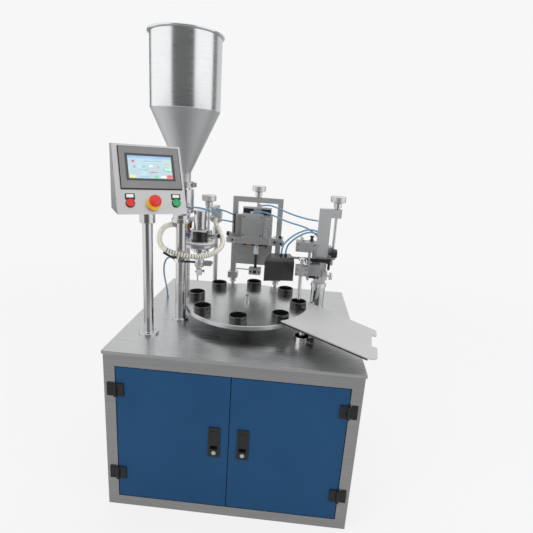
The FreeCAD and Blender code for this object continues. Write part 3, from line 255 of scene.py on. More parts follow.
def brushedMetal(name, colour, rough, grain, contrast=0.12, bump=0.02, metal=1.0):
    # long thin streaks along one axis, with broad soft marks over them
    finishes[name], tree, shader = newMaterial(name, {"Metallic": metal})
    fine = noise(tree, 1.0, 3.0, objectSpace(tree, grain))
    broad = noise(tree, 6.0, 2.0, objectSpace(tree))
    toned(tree, fine, colour, contrast, shader.inputs["Base Color"])
    total = calc(tree, "ADD", spread(tree, fine, rough - 0.06, rough + 0.06),
        spread(tree, broad, -0.04, 0.06))
    tree.links.new(total, shader.inputs["Roughness"])
    bumped(tree, shader, fine, bump * 10, 0.0002)


def roundBrushed(name, colour, rough, centre, pitch=900.0, contrast=0.12):
    # turning marks: rings round an upright axis
    finishes[name], tree, shader = newMaterial(name, {"Metallic": 1.0})
    about = objectSpace(tree, place=(-centre[0] * mm, -centre[1] * mm, 0))
    split = node(tree, "ShaderNodeSeparateXYZ", (about,))
    flat = node(tree, "ShaderNodeCombineXYZ", split.outputs[:2])
    length = node(tree, "ShaderNodeVectorMath", (flat.outputs[0],), operation="LENGTH").outputs["Value"]
    marks = node(tree, "ShaderNodeTexNoise", noise_dimensions="1D", Scale=pitch, Detail=3.0,
        W=length).outputs["Fac"]
    blotch = noise(tree, 9.0, 3.0, objectSpace(tree))
    toned(tree, marks, colour, contrast, shader.inputs["Base Color"])
    total = calc(tree, "ADD", spread(tree, marks, rough - 0.08, rough + 0.08),
        spread(tree, blotch, -0.03, 0.06))
    tree.links.new(total, shader.inputs["Roughness"])


def paint(name, colour, rough, peel=0.02, coat=0.0, scale=900.0, gloss=0.5, wear=0.06):
    # sprayed or moulded surface: faint peel, slight tone change
    finishes[name], tree, shader = newMaterial(
        name, {"Specular IOR Level": gloss, "Coat Weight": coat, "Coat Roughness": 0.08})
    fine = noise(tree, scale, 2.0, objectSpace(tree))
    broad = noise(tree, 5.0, 4.0, objectSpace(tree))
    toned(tree, broad, colour, wear, shader.inputs["Base Color"])
    tree.links.new(spread(tree, broad, rough - 0.05, rough + 0.07), shader.inputs["Roughness"])
    bumped(tree, shader, fine, peel * 10, 0.0003)


def litMaterial(name, colour):
    finishes[name], tree, shader = newMaterial(
        name, {"Emission Strength": 0.16, "Roughness": 0.18, "Coat Weight": 0.5})
    toned(tree, noise(tree, 30.0, 1.0, objectSpace(tree)), colour, 0.06,
          shader.inputs["Base Color"], shader.inputs["Emission Color"])


# colour, roughness, grain, contrast, bump, share of metal
metals = {
    "frameSteel": ((0.50, 0.50, 0.505), 0.34, (6, 500, 500)),
    "tableSteel": ((0.60, 0.605, 0.61), 0.28, (3, 420, 420)),
    "panelSteel": ((0.50, 0.51, 0.53), 0.38, (4, 400, 400)),
    "boxSteel": ((0.56, 0.56, 0.565), 0.34, (60, 60, 900), 0.05),
    "mirrorSteel": ((0.66, 0.67, 0.68), 0.14, (300, 300, 3), 0.06, 0.01),
    "tubeSteel": ((0.62, 0.62, 0.63), 0.18, (500, 500, 6), 0.08, 0.01),
    "hopperSteel": ((0.68, 0.69, 0.70), 0.20, (14, 14, 700), 0.07, 0.006),
    # next: the hopper steel again, darker and rougher; the darker colour is painted shade for the
    # downward-facing cone
    "coneShadeSteel": ((0.56, 0.57, 0.58), 0.50, (14, 14, 700), 0.06, 0.006),
    "knurledSteel": ((0.70, 0.70, 0.71), 0.32, (300, 300, 60), 0.08, 0.01),
    "chrome": ((0.78, 0.78, 0.79), 0.08, (200, 200, 200), 0.03, 0.005),
    "brass": ((0.55, 0.30, 0.14), 0.32, (200, 200, 200), 0.2),
    "castAluminium": ((0.66, 0.67, 0.68), 0.32, (120, 120, 500), 0.06, 0.02, 0.72),
    "lightAluminium": ((0.66, 0.67, 0.68), 0.30, (120, 120, 500), 0.06, 0.02, 0.75),
    "uprightAluminium": ((0.76, 0.77, 0.78), 0.36, (120, 120, 500), 0.05, 0.02, 0.7),
    "blockAluminium": ((0.54, 0.545, 0.55), 0.36, (120, 500, 120), 0.06, 0.02, 0.62),
    "midAluminium": ((0.47, 0.475, 0.48), 0.38, (120, 500, 120), 0.06, 0.02, 0.6),
    "dimAluminium": ((0.40, 0.405, 0.42), 0.38, (120, 500, 120), 0.06, 0.02, 0.6),
    "darkAluminium": ((0.20, 0.21, 0.22), 0.38, (120, 120, 500), 0.1)}
# colour, roughness, peel, coat, scale of the peel, gloss, change of tone
paints = {
    "bluePaint": ((0.008, 0.066, 0.168), 0.42, 0.02, 0.0, 900.0, 0.25),
    "blackPaint": ((0.012, 0.012, 0.013), 0.42, 0.03),
    "blackPlastic": ((0.014, 0.014, 0.015), 0.48, 0.04, 0.0, 600.0),
    "blackSatin": ((0.012, 0.012, 0.013), 0.26, 0.01, 0.2),
    "greyPaint": ((0.20, 0.22, 0.24), 0.45, 0.04),
    "bezelGrey": ((0.215, 0.215, 0.213), 0.45, 0.02),
    "screenEdge": ((0.055, 0.056, 0.058), 0.35, 0.01),
    "labelWhite": ((0.80, 0.80, 0.79), 0.45, 0.01),
    "cupBlack": ((0.008, 0.008, 0.009), 0.10, 0.003, 1.0),
    "redPlastic": ((0.62, 0.018, 0.015), 0.25, 0.01, 0.3),
    "greenPlastic": ((0.012, 0.36, 0.10), 0.25, 0.01, 0.3),
    "yellowPlastic": ((0.80, 0.55, 0.02), 0.40, 0.02),
    "milkyPlastic": ((0.74, 0.75, 0.74), 0.30, 0.01, 0.3),
    "clearPlate": ((0.62, 0.64, 0.65), 0.12, 0.004, 0.6),
    "smokedSheet": ((0.012, 0.010, 0.009), 0.12, 0.004, 0.5),
    "hoodSheet": ((0.030, 0.028, 0.027), 0.30, 0.01, 0.25, 900.0, 0.5, 0.25),
    "trayPaint": ((0.485, 0.485, 0.485), 0.50, 0.02),
    "creamHose": ((0.82, 0.80, 0.70), 0.42, 0.03),
    # the dark colour below is painted shade for the grooves between the hose ribs
    "hoseGrooveShade": ((0.12, 0.11, 0.085), 0.5, 0.01),
    "airBlue": ((0.13, 0.29, 0.45), 0.22, 0.01, 0.3),
    "wireYellow": ((0.72, 0.55, 0.06), 0.4, 0.01),
    "wireBrown": ((0.16, 0.045, 0.03), 0.4, 0.01),
    "fittingBlue": ((0.03, 0.13, 0.36), 0.3, 0.01, 0.2)}
litColours = {
    "sky": (0.46, 0.62, 0.69), "header": (0.30, 0.50, 0.76), "red": (0.72, 0.14, 0.15),
    "teal": (0.24, 0.56, 0.60),
    "green": (0.22, 0.64, 0.40), "yellow": (0.88, 0.74, 0.28), "white": (0.82, 0.88, 0.90),
    "grey": (0.34, 0.42, 0.48), "orange": (0.68, 0.46, 0.28)}
for name, values in metals.items():
    brushedMetal(name, *values)
for name, values in paints.items():
    paint(name, *values)
for name, values in litColours.items():
    litMaterial("lit" + name.capitalize(), values)
roundBrushed("dialSteel", (0.62, 0.625, 0.63), 0.26, (-5, 8))

cadFinish = {
    "frameSteel": "cabinet_frame hopper_clamp", "tableSteel": "table_top fill_carriage",
    "panelSteel": "cabinet_panels", "blackPaint": "frame_hinges door_hinges_left door_hinges_right",
    "bluePaint": "door_left door_right", "greyPaint": "index_gearbox drive_motor", "cupBlack": "cups",
    "blackPlastic": "latch_housing_left latch_housing_right latch_handle_left latch_handle_right "
                    "electrical_rack switch_bodies",
    "chrome": "lock_cylinder_left lock_cylinder_right fill_knob nozzle cap_knob eject_knob eject_rod "
              "tray_post",
    "mirrorSteel": "dial_shaft hopper", "dialSteel": "dial_plate", "bezelGrey": "touch_panel",
    "tubeSteel": "control_post metering_pump hopper_column", "boxSteel": "control_box box_back_cover",
    "redPlastic": "stop_button estop_head", "greenPlastic": "start_button", "darkAluminium": "fill_valve",
    "yellowPlastic": "estop_base estop_stem", "castAluminium": "fill_frame cap_frame press_head",
    "blockAluminium": "cap_carriage cap_cylinder", "uprightAluminium": "eject_frame",
    "dimAluminium": "eject_carriage", "smokedSheet": "guard_sheet", "trayPaint": "tray"}
for finish, names in cadFinish.items():
    for name in names.split():
        part = nodes[name]
        if not part.material_slots:
            part.data.materials.append(None)
        for place in part.material_slots:
            place.material = finishes[finish]
print("materials:", len(finishes))


# camera, fitted to the photograph's viewing angle
view = {"place": (166.4, -1670.2, 1332.7), "down": 15.40, "roll": 3.79, "yaw": -3.29, "lens": 27.81}


def makeCamera():
    down, roll, yaw = (math.radians(view[k]) for k in ("down", "roll", "yaw"))
    ahead = Vector((math.sin(yaw) * math.cos(down), math.cos(yaw) * math.cos(down), -math.sin(down)))
    level = Vector((math.cos(yaw), -math.sin(yaw), 0))
    above = level.cross(ahead)
    right = level * math.cos(roll) + above * math.sin(roll)
    up = above * math.cos(roll) - level * math.sin(roll)
    data = bpy.data.cameras.new("camera")
    data.lens = view["lens"]
    data.sensor_width = 36
    camera = linkObject("camera", data)
    turn = Matrix((right, up, -ahead)).transposed().to_4x4()
    camera.matrix_world = Matrix.Translation(Vector(view["place"]) * mm) @ turn
    bpy.context.scene.camera = camera


makeCamera()


# hoses and air lines: points that steer one smooth line, with heights above the table top
tableTop = 645
hoseRoute = (
    (-300, -101, 395), (-322, -106, 392), (-339, -118, 377), (-346, -132, 352), (-342, -141, 324),
    (-322, -143, 302), (-290, -140, 291), (-255, -134, 283), (-220, -120, 275), (-186, -92, 270),
    (-152, -56, 275), (-130, -12, 287), (-124, 35, 302), (-136, 82, 317), (-156, 122, 337),
    (-178, 152, 361), (-188, 172, 375), (-188, 190.1, 378.3))
airRoutes = (
    ((-273.4, 25.5, 447.4), (-264, 13, 449), (-240, -13, 455), (-205, -20, 455), (-178, 4, 443),
     (-166, 52, 427), (-162, 110, 417), (-166, 160, 409), (-173.1, 190.1, 405.5)),
    ((-180.7, 150.6, 432.6), (-165, 153, 431), (-143, 180, 422), (-127, 218, 409), (-116, 250, 398),
     (-114.3, 269.1, 393.8)),
    ((-162, 212.4, 374.6), (-144, 214, 373), (-125, 228, 368), (-116, 249, 363), (-114.7, 269.1, 361.4)),
    ((16, 258, 448), (44, 250, 456), (90, 212, 450), (148, 162, 434), (210, 112, 426),
     (248, 86, 424), (271.2, 79.1, 424)),
    ((-18, 228, 417), (10, 222, 425), (50, 198, 424), (98, 164, 412), (149, 135, 399),
     (205, 108, 392), (244, 92, 381), (271.9, 81.2, 361.2)),
    ((271.4, 71.2, 380), (250, 67, 387), (220, 60, 383), (184, 53, 366), (151, 45, 340), (128, 40, 309),
     (128, 40, 277)),
    ((271.5, 65.5, 370), (250, 63, 377), (222, 59, 371), (194, 54, 356), (166, 49, 333), (146, 45, 306),
     (146, 45, 277)),
    ((-302, -101, 267), (-326, -94, 258), (-348, -66, 223), (-365, -18, 173), (-378, 40, 120),
     (-389, 94, 72), (-396, 128, 40), (-397, 137, 14)))
cordSizes = {"hose": 8.6, "air": 3.5, "airLengths": (0.312, 0.148, 0.084, 0.316, 0.336, 0.205, 0.180, 0.372),
             "hoseLength": 0.621}
# air lines with one end on a moving body, and whether that is their start
movingEnds = {"air_line_4": ("cap_carriage", True), "air_line_5": ("cap_carriage", True),
              "air_line_6": ("eject_carriage", False), "air_line_7": ("eject_carriage", False)}


def onTable(point):
    return Vector((point[0], point[1], tableTop + point[2])) * mm


def smoothLine(name, places, r=0.0, smoothness=(10, 5)):
    # places in metres
    curve = bpy.data.curves.new(name, "CURVE")
    curve.dimensions = "3D"
    spline = curve.splines.new("NURBS")
    spline.points.add(len(places) - 1)
    for point, place in zip(spline.points, places):
        point.co = (*place, 1)
    spline.order_u = 3
    spline.use_endpoint_u = True
    spline.resolution_u, curve.bevel_resolution = smoothness
    curve.bevel_depth = r * mm
    curve.use_fill_caps = True
    return linkObject(name, curve)


def linePath(points):
    line = smoothLine("route", [onTable(p) for p in points])
    mesh = baked(line)
    path = [v.co.copy() for v in mesh.vertices]
    bpy.data.objects.remove(line)
    bpy.data.meshes.remove(mesh)
    return path


def makeCord(name, points, r, finish):
    line = smoothLine(name + "_line", [onTable(p) for p in points], r)
    line.data.materials.append(finishes[finish])
    piece, extra = line, {}
    if name in movingEnds:
        extra["path"] = linePath(points)
        mesh = baked(line)
        bpy.data.objects.remove(line)
        piece = linkObject(name + "_tube", mesh, True)
        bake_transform(piece)
    else:
        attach(piece, "base")
    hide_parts(name)


makeCord("ribbed_hose", hoseRoute, cordSizes["hose"], "creamHose")
for number, (route, length) in enumerate(zip(airRoutes, cordSizes["airLengths"]), 1):
    makeCord("air_line_%d" % number, route, cordSizes["air"], "airBlue")
print("hoses and air lines:", 1 + len(airRoutes))


# screws and other repeated small parts, placed by a node tree
def newTree(name, labels):
    tree = bpy.data.node_groups.new(name, "GeometryNodeTree")
    tree.interface.new_socket("Geometry", in_out="INPUT", socket_type="NodeSocketGeometry")
    for label in labels:
        tree.interface.new_socket(label, in_out="INPUT", socket_type="NodeSocketFloat")
    tree.interface.new_socket("Geometry", in_out="OUTPUT", socket_type="NodeSocketGeometry")
    return tree, node(tree, "NodeGroupInput").outputs


def endTree(tree, finish, **places):
    place = node(tree, "GeometryNodeInstanceOnPoints", **places)
    whole = node(tree, "GeometryNodeRealizeInstances", (place.outputs["Instances"],))
    coloured = node(tree, "GeometryNodeSetMaterial", (whole.outputs["Geometry"],), Material=finishes[finish])
    node(tree, "NodeGroupOutput", (coloured.outputs["Geometry"],))
    return tree


def applyTree(obj, tree, settings):
    mod = obj.modifiers.new("repeat", "NODES")
    mod.node_group = tree
    ids = {item.name: item.identifier for item in tree.interface.items_tree if item.item_type == "SOCKET"}
    for label, value in settings.items():
        mod[ids[label]] = value
    return bake(obj)


def screws(name, finish):
    # flat cylinder head with a six-sided socket in it, turned to the point's axis
    tree, start = newTree(name, ("Radius", "Height"))
    head = node(tree, "GeometryNodeMeshCylinder", Vertices=20, Radius=start["Radius"], Depth=start["Height"])
    half = calc(tree, "MULTIPLY", start["Radius"], 0.5)
    socket = node(tree, "GeometryNodeMeshCylinder", Vertices=6, Radius=half, Depth=start["Height"])
    offset = node(tree, "ShaderNodeCombineXYZ", Z=half)
    lift = node(tree, "GeometryNodeTransform", Geometry=socket.outputs["Mesh"], Translation=offset.outputs[0])
    hollowed = node(tree, "GeometryNodeMeshBoolean", (head.outputs["Mesh"], lift.outputs["Geometry"]),
                    operation="DIFFERENCE")
    axis = node(tree, "GeometryNodeInputNamedAttribute", data_type="FLOAT_VECTOR", Name="axis")
    turn = node(tree, "FunctionNodeAlignRotationToVector", Vector=axis.outputs["Attribute"])
    return endTree(tree, finish, Points=start["Geometry"], Instance=hollowed.outputs["Mesh"],
                   Rotation=turn.outputs["Rotation"])


screwTree = screws("socketScrews", "chrome")
blackScrewTree = screws("blackScrews", "blackPaint")


def scatter(name, places, radius, height, body, tree=screwTree):
    # places: (point, direction); all in millimetres
    mesh = bpy.data.meshes.new(name + "_points")
    mesh.from_pydata([Vector(p) * mm for p, _ in places], [], [])
    axis = mesh.attributes.new("axis", "FLOAT_VECTOR", "POINT")
    axis.data.foreach_set("vector", [c for _, d in places for c in Vector(d).normalized()])
    obj = applyTree(linkObject(name, mesh), tree, {"Radius": radius * mm, "Height": height * mm})
    sharpByAngle(obj, 30)
    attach(obj, body)


def corners(x, y, dx, dy, z):
    return [((x + sx * dx, y + sy * dy, z), upward) for sx in (-1, 1) for sy in (-1, 1)]


def ring(x, y, r, count, z, start=45):
    turns = [math.radians(start + 360 * i / count) for i in range(count)]
    return [((x + r * math.cos(t), y + r * math.sin(t), z), upward) for t in turns]


hinge = {"x": 408.5, "zs": (498.0, 148.0), "front": -425.0, "leaf": 5.0, "screwR": 3.0, "screwH": 1.2,
         "side": 20, "rise": 17}


def hingeScrews():
    h = hinge
    y = h["front"] - h["leaf"] - h["screwH"] / 2 + 0.2
    for side, label in ((-1, "left"), (1, "right")):
        for way, holder, body in ((1, "frame", "base"), (-1, "door", "door_" + label)):
            places = [((side * (h["x"] + way * h["side"]), y, z + dz), outward)
                      for z in h["zs"] for dz in (-h["rise"], h["rise"])]
            scatter("hinge_screws_" + holder + "_" + label, places, h["screwR"], h["screwH"], body,
                    blackScrewTree)


hingeScrews()
standing = ring(-346, -258, 28, 4, 655) + ring(-268, -101, 26.8, 4, 655) + \
    ring(-292, 95, 15.5, 3, 656) + ring(-188, 216, 15.5, 3, 656) + \
    ring(-110.5, 285, 14, 3, 654, 90) + ring(102.5, 285, 14, 3, 654, 90) + \
    ring(300, 75, 36.5, 4, 656)
scatter("table_screws", standing, 3.2, 3, "base")
print("screws placed")


# control box: what is on its sloped face
box = {"post": (-346, -258), "bottom": 1114, "yaw": 31.0, "slope": 26.0, "faceY": -50.163, "faceZ": 109.0,
       "border": (161, 95), "screen": (144, 79), "screenPlace": (4.5, 40), "bezel": (196, 144),
       "bezelPlace": (4.5, 38.5), "stop": -70.5, "start": 79.5, "buttonUp": -83.0, "gasket": 3}
# (u, v, width, height, colour): u and v from the screen's middle
screenBlocks = (
    (0, 0, *box["screen"], "sky"), (0, 35, box["screen"][0], 8, "header"), (-55, 20, 8, 8, "red"),
    (8, 21, 62, 2.4, "teal"), (10, 16.5, 50, 1.6, "white"), (56, 14, 18, 3.4, "orange"),
    (10, -17, 26, 2.6, "red"),
    (-52, 1, 9, 7, "grey"), (-22, 2, 12, 7, "teal"), (2, 4, 12, 9, "white"), (26, 2, 12, 6, "orange"),
    (58, -6, 26, 14, "green"), (58, -6, 20, 9, "white"), (-60, -33, 18, 10, "yellow"),
    (-24, -33, 26, 4, "header"),
    (18, -33, 14, 10, "green"), (40, -33, 16, 8, "white"), (62, -32, 18, 12, "red"),
    (-22, -9, 30, 1.6, "grey"),
    (58, -3.6, 14, 2, "green"), (58, -8.6, 14, 2, "green"))
# on the face: X to the right, Z up the slope, -Y out of the face
onFace = Matrix.Translation((*box["post"], box["bottom"])) @ \
    Matrix.Rotation(math.radians(box["yaw"]), 4, "Z") @ \
    Matrix.Translation((0, box["faceY"], box["faceZ"])) @ \
    Matrix.Rotation(math.radians(-box["slope"]), 4, "X")


def faceBox(bm, centre, size, y0, y1):
    (u, v), (w, h) = centre, size
    addBox(bm, (u - w / 2, y0, v - h / 2), (u + w / 2, y1, v + h / 2), onFace)


def screenParts():
    border = bmesh.new()
    (bw, bh), (cx, cy), (sw, sh) = box["border"], box["screenPlace"], box["screen"]
    gap, back, front = 0.4, -5.35, -5.95
    for s in (1, -1):
        faceBox(border, (cx, cy + s * (bh + sh) / 4), (bw - gap, (bh - sh) / 2 - gap / 2), front, back)
    for s in (-1, 1):
        faceBox(border, (cx + s * (bw + sw) / 4, cy), ((bw - sw) / 2 - gap, sh), front, back)
    finished(bmObject("screen_border", border), "screenEdge", "base")
    bm = bmesh.new()
    names = []
    glass, layer, under = -5.0, 0.02, -4.62
    for i, (u, v, w, h, colour) in enumerate(screenBlocks):
        if colour not in names:
            names.append(colour)
        before = set(bm.faces)
        faceBox(bm, (cx + u, cy + v), (w, h), glass - 0.3 - layer * i if i else glass, under)
        for face in set(bm.faces) - before:
            face.material_index = names.index(colour)
    obj = bmObject("operator_screen", bm)
    for colour in names:
        obj.data.materials.append(finishes["lit" + colour.capitalize()])
    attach(obj, "base")


def roundedPlate(name, centre, size, y0, y1, r, label):
    bm = bmesh.new()
    (u, v), (w, h) = centre, size
    steps = 6
    points = []
    for sx, sy, start in ((1, 1, 0), (-1, 1, 90), (-1, -1, 180), (1, -1, 270)):
        for i in range(steps + 1):
            t = math.radians(start + 90 * i / steps)
            points.append((u + sx * (w / 2 - r) + r * math.cos(t), v + sy * (h / 2 - r) + r * math.sin(t)))
    front, back = ([bm.verts.new(onFace @ Vector((a, y, b))) for a, b in points] for y in (y0, y1))
    bm.faces.new(front)
    bm.faces.new(back[::-1])
    skin(bm, [back, front])
    finished(bmObject(name, bm), label, "base")


def bezelEdge():
    # dark gasket line that shows all round the bezel
    (w, h), (u, v), wide = box["bezel"], box["bezelPlace"], box["gasket"]
    proud = -2.2
    bm = bmesh.new()
    for s in (-1, 1):
        faceBox(bm, (u, v + s * (h + wide) / 2), (w + 2 * wide, wide), proud, 0)
        faceBox(bm, (u + s * (w + wide) / 2, v), (wide, h), proud, 0)
    finished(bmObject("bezel_gasket", bm), "blackPlastic", "base")


def faceButtons():
    inner, outer, deep, front = 9.9, 13.2, -5.0, -6.8
    profile = ((inner, deep), (outer, deep), (outer, -6.0), (outer - 0.8, front), (inner, front))
    v = box["buttonUp"]
    for label, finish in (("stop", "redPlastic"), ("start", "greenPlastic")):
        u = box[label]
        roundedPlate(label + "_legend_plate", (u + 0.5, v + 22), (31, 21), -1.6, 0, 2.5, "blackPlastic")
        roundedPlate(label + "_legend_label", (u + 0.5, v + 24), (22, 11), -1.9, -1.5, 0.8, "labelWhite")
        bm = bmesh.new()
        rings = [[(a, y, b) for a, b in circle(r, 64, u, v)] for r, y in profile]
        skin(bm, [[bm.verts.new(onFace @ Vector(point)) for point in loop] for loop in rings], True)
        finished(bmObject(label + "_lens_ring", bm), finish, "base", 30)


screenParts()
bezelEdge()
faceButtons()
print("control face dressed")


# hopper: one rolled sheet with a bead, a cone and a ferrule
hopper = {"x": -299, "y": 60, "top": 1752, "r": 139.0, "wall": 2.0, "bead": 4.5, "join": 1477,
    "coneEnd": 1234, "neck": 25.0, "bottom": 1184, "ferrule": 32.0, "sides": 160}


def hopperShell():
    h = hopper
    r, w, join, low, neck, cone = h["r"], h["wall"], h["join"], h["bottom"], h["neck"], h["coneEnd"]
    beadMid = r + h["bead"] - w / 4
    turns = [math.radians(a) for a in range(-155, 181, 24)]
    b, high = h["bead"], h["top"]
    bead = [(beadMid + b * math.cos(t), high - b + b * math.sin(t)) for t in turns]
    profile = [(neck - w, low), (h["ferrule"], low), (h["ferrule"], low + 4.4), (h["ferrule"] - 1.6, low + 6),
               (neck + 1, low + 7), (neck, low + 9), (neck, cone - 3), (neck + 1.2, cone + 2),
               (r - 1.2, join - 2.2), (r, join + 2), (r, high - 9.5), *bead,
               (r - w, high - 8), (r - w, join + 2), (neck - w + 1, cone + 3), (neck - w, cone - 3)]
    obj = turned("hopper_shell", profile, h["x"], h["y"], "hopperSteel", "base", "hopper", h["sides"],
        degrees=50)
    # the cone below the join takes the darker, rougher copy of the hopper steel: painted shade
    obj.data.materials.append(finishes["coneShadeSteel"])
    for face in obj.data.polygons:
        if face.center.z < (join - 1) * mm:
            face.material_index = 1
    seam = bmesh.new()
    for z, edge in ((join, r), (cone, neck)):
        addLathe(seam, [(edge - 0.8, z - 1.4), (edge + 0.5, z - 0.8), (edge + 0.7, z), (edge + 0.5, z + 0.8),
                        (edge - 0.8, z + 1.4)], h["x"], h["y"], 96)
    finished(bmObject("hopper_weld_seams", seam), "hopperSteel", "base", 60)


hopperShell()
print("hopper shell")


# index dial with its cups
dial = {"x": -5, "y": 8, "r": 261, "low": 685, "high": 703, "edge": 1.5, "bore": 9.05, "phase": -2,
    "ring": 222, "cups": 8, "cupR": 35.0, "cupBore": 31.0, "cupTop": 732, "groove": 721.2, "floor": 707}


def station(index):
    turn = math.radians(dial["phase"] + 360 * index / dial["cups"])
    return dial["x"] + dial["ring"] * math.cos(turn), dial["y"] + dial["ring"] * math.sin(turn)


def dialParts():
    d = dial
    r, e, low, high = d["r"], d["edge"], d["low"], d["high"]
    turned("dial_disc", [(d["bore"], low), (r - e, low), (r, low + e), (r, high - e), (r - e, high),
        (d["bore"], high)], d["x"], d["y"], "dialSteel", "dial", "dial_plate", 240, degrees=25)
    top, r, bore, groove, floor = d["cupTop"], d["cupR"], d["cupBore"], d["groove"], d["floor"]
    profile = [(0, high), (r - 0.6, high), (r, high + 0.6), (r, groove - 0.6), (r - 1, groove),
        (r - 1, groove + 1), (r, groove + 1.6), (r, top - 1.2), (r - 0.4, top - 0.4), (r - 1.2, top),
        (bore + 1.4, top), (bore + 0.4, top - 0.4), (bore, top - 1.4), (bore, floor + 0.6),
        (bore - 0.8, floor), (0, floor)]
    bm = bmesh.new()
    for i in range(d["cups"]):
        addLathe(bm, profile, *station(i))
    finished(bmObject("container_cups", bm), "cupBlack", "dial", 38, "cups")
    scatter("cup_screws", [((*station(i), floor + 0.8), upward) for i in range(d["cups"])], 5.5, 3, "dial")


# posts on the table
def postParts():
    foot = 645
    turned("control_tube", [(16, foot), (36, foot), (36, 652.6), (34.6, 654), (19.5, 654), (18, 655.2),
        (18, 1069), (26, 1069), (27, 1070), (27, 1113.6), (16, 1113.6)], *box["post"], "tubeSteel", "base",
        "control_post")
    x, y = -268, -101

    def outlets(bm):
        for start, end, z, r, sides in ((-287, -300, 1040, 10.5, 24), (-287, -293, 1040, 12.5, 6),
                                        (-287, -302, 912, 5.0, 24), (-288, -294, 912, 7, 6)):
            addRod(bm, (start, y, z), (end, y, z), r, sides)

    turned("hopper_stand", [(17, foot), (32, foot), (32, 652.6), (30.6, 654), (23, 654), (21.5, 655.4),
        (21.5, 808), (20.6, 809), (20, 809), (20, 1051), (36, 1051), (37, 1052), (37, 1066), (36, 1067),
        (17, 1067)], x, y, "tubeSteel", "base", "hopper_column", extra=outlets)
    turned("tray_stand_collar", [(12.2, 645.2), (26, 645.2), (27, 646), (27, 668), (26, 669), (12.2, 669)],
           234, -214, "chrome", "base")
    bm = bmesh.new()
    addRod(bm, (255, -219, 657), (272, -223, 657), 5)
    addRod(bm, (268, -222, 657), (280, -225, 657), 9, 12)
    finished(bevelled(bmObject("tray_set_knob", bm), 0.8), "blackPlastic", "base")


# filling valve
valve = {"x": -220, "y": 18, "discLow": 940, "discHigh": 949, "black": (32.5, 999), "plate": (31, 1006),
         "tube": (27, 1086), "lower": (36, 906)}


def valveParts():
    v = valve
    x, y, body, slot = v["x"], v["y"], "fill_carriage", " dark_aluminium"
    (r, top), low = v["black"], v["discHigh"]
    turned("valve_actuator", [(0, low), (r, low), (r, low + 3), (r - 0.8, low + 3.6), (r - 0.8, low + 7),
        (r, low + 7.6), (r, top - 7), (r - 0.8, top - 6.4), (r - 0.8, top - 3), (r, top - 2.4),
        (r, top - 0.6), (0, top - 0.2)], x, y, "blackSatin" + slot, body, "fill_valve")
    half, high = v["plate"]
    bm = bmesh.new()
    addBox(bm, (x - half, y - half, top), (x + half, y + half, high))
    finished(bevelled(bmObject("valve_top_plate", bm), 1.6, 3), "clearPlate", body)
    scatter("valve_plate_screws", corners(x, y, half - 6, half - 6, high + 1.4), 4, 4, body)
    r, top = v["tube"]
    turned("valve_tube", [(0, high), (r - 4, high), (r, high + 1), (r, high + 8), (r - 1.4, high + 8.6),
        (r - 1.4, top - 14), (r, top - 13), (r, top - 2), (r - 2, top), (0, top)], x, y, "tubeSteel" + slot,
        body)
    (r, low), top = v["lower"], v["discLow"]
    turned("valve_lower_body",
           [(0, low), (r - 10, low), (r - 10, low + 8), (r - 2, low + 10), (r, low + 12), (r, top - 6),
            (r - 3, top - 4), (r - 3, top), (0, top)], x, y, "mirrorSteel" + slot, body)


dialParts()
postParts()
valveParts()
print("turned parts")


# corrugations of the hose
# groove is the thickness of the dark rings that paint the shade between the ribs
hoseRibs = {"gap": 10.6, "smoothGap": 3.2, "ribsFrom": -318, "radius": 7.9, "thick": 2.7, "groove": 1.7,
    "sides": 24}


def ribTree():
    tree, start = newTree("hoseRibs", ("Spacing", "Rib radius", "Rib thickness"))
    line = node(tree, "GeometryNodeMeshToCurve", Mesh=start["Geometry"])
    points = node(tree, "GeometryNodeCurveToPoints", mode="LENGTH", Curve=line.outputs["Curve"],
                  Length=start["Spacing"])
    ringCurve = node(tree, "GeometryNodeCurvePrimitiveCircle", Resolution=hoseRibs["sides"],
        Radius=start["Rib radius"])
    profile = node(tree, "GeometryNodeCurvePrimitiveCircle", Resolution=8, Radius=start["Rib thickness"])
    sweep = node(tree, "GeometryNodeCurveToMesh", (ringCurve.outputs["Curve"], profile.outputs["Curve"]))
    return endTree(tree, "creamHose", Points=points.outputs["Points"], Rotation=points.outputs["Rotation"],
                   Instance=sweep.outputs["Mesh"])


def pathFrom(path, length):
    # the rest of a path after a given length along it
    gone = 0.0
    for i, (a, b) in enumerate(zip(path, path[1:])):
        step = (b - a).length
        if gone + step > length:
            return [a.lerp(b, (length - gone) / step)] + path[i + 1:]
        gone += step
    return path[-2:]


def ribRun(name, path, gap, finish, thick):
    mesh = bpy.data.meshes.new(name)
    mesh.from_pydata(path, [(i, i + 1) for i in range(len(path) - 1)], [])
    obj = applyTree(linkObject(name, mesh), ribTree(), {
        "Spacing": gap * mm, "Rib radius": hoseRibs["radius"] * mm, "Rib thickness": thick * mm})
    finished(obj, finish, "base", 60)


def hoseCorrugations():
    # close together they make the plain stretch, further apart the ribbed one; thin dark rings between its
    # ribs are painted shade in the grooves
    h = hoseRibs
    path = linePath(hoseRoute)
    whole = sum((b - a).length for a, b in zip(path, path[1:]))
    turn = next(i for i in range(len(path)) if path[i].x > h["ribsFrom"] * mm and i > len(path) / 5)
    ribRun("hose_plain_stretch", path[:turn + 1], h["smoothGap"], "creamHose", h["thick"])
    ribRun("hose_ribs", path[turn:], h["gap"], "creamHose", h["thick"])
    # thin dark rings halfway between the ribs: painted shade in the grooves
    ribRun("hose_groove_shade", pathFrom(path[turn:], h["gap"] * mm / 2), h["gap"], "hoseGrooveShade", h["groove"])
    print("hose length", round(whole, 4))


hoseCorrugations()
print("hose ribs")


# closing station: a plate with cylinder blocks on it
capping = {"plateTop": 944.0, "plateLow": 916.0, "front": 210.7, "left": -70.0, "mid": 28.0, "right": 70.0}


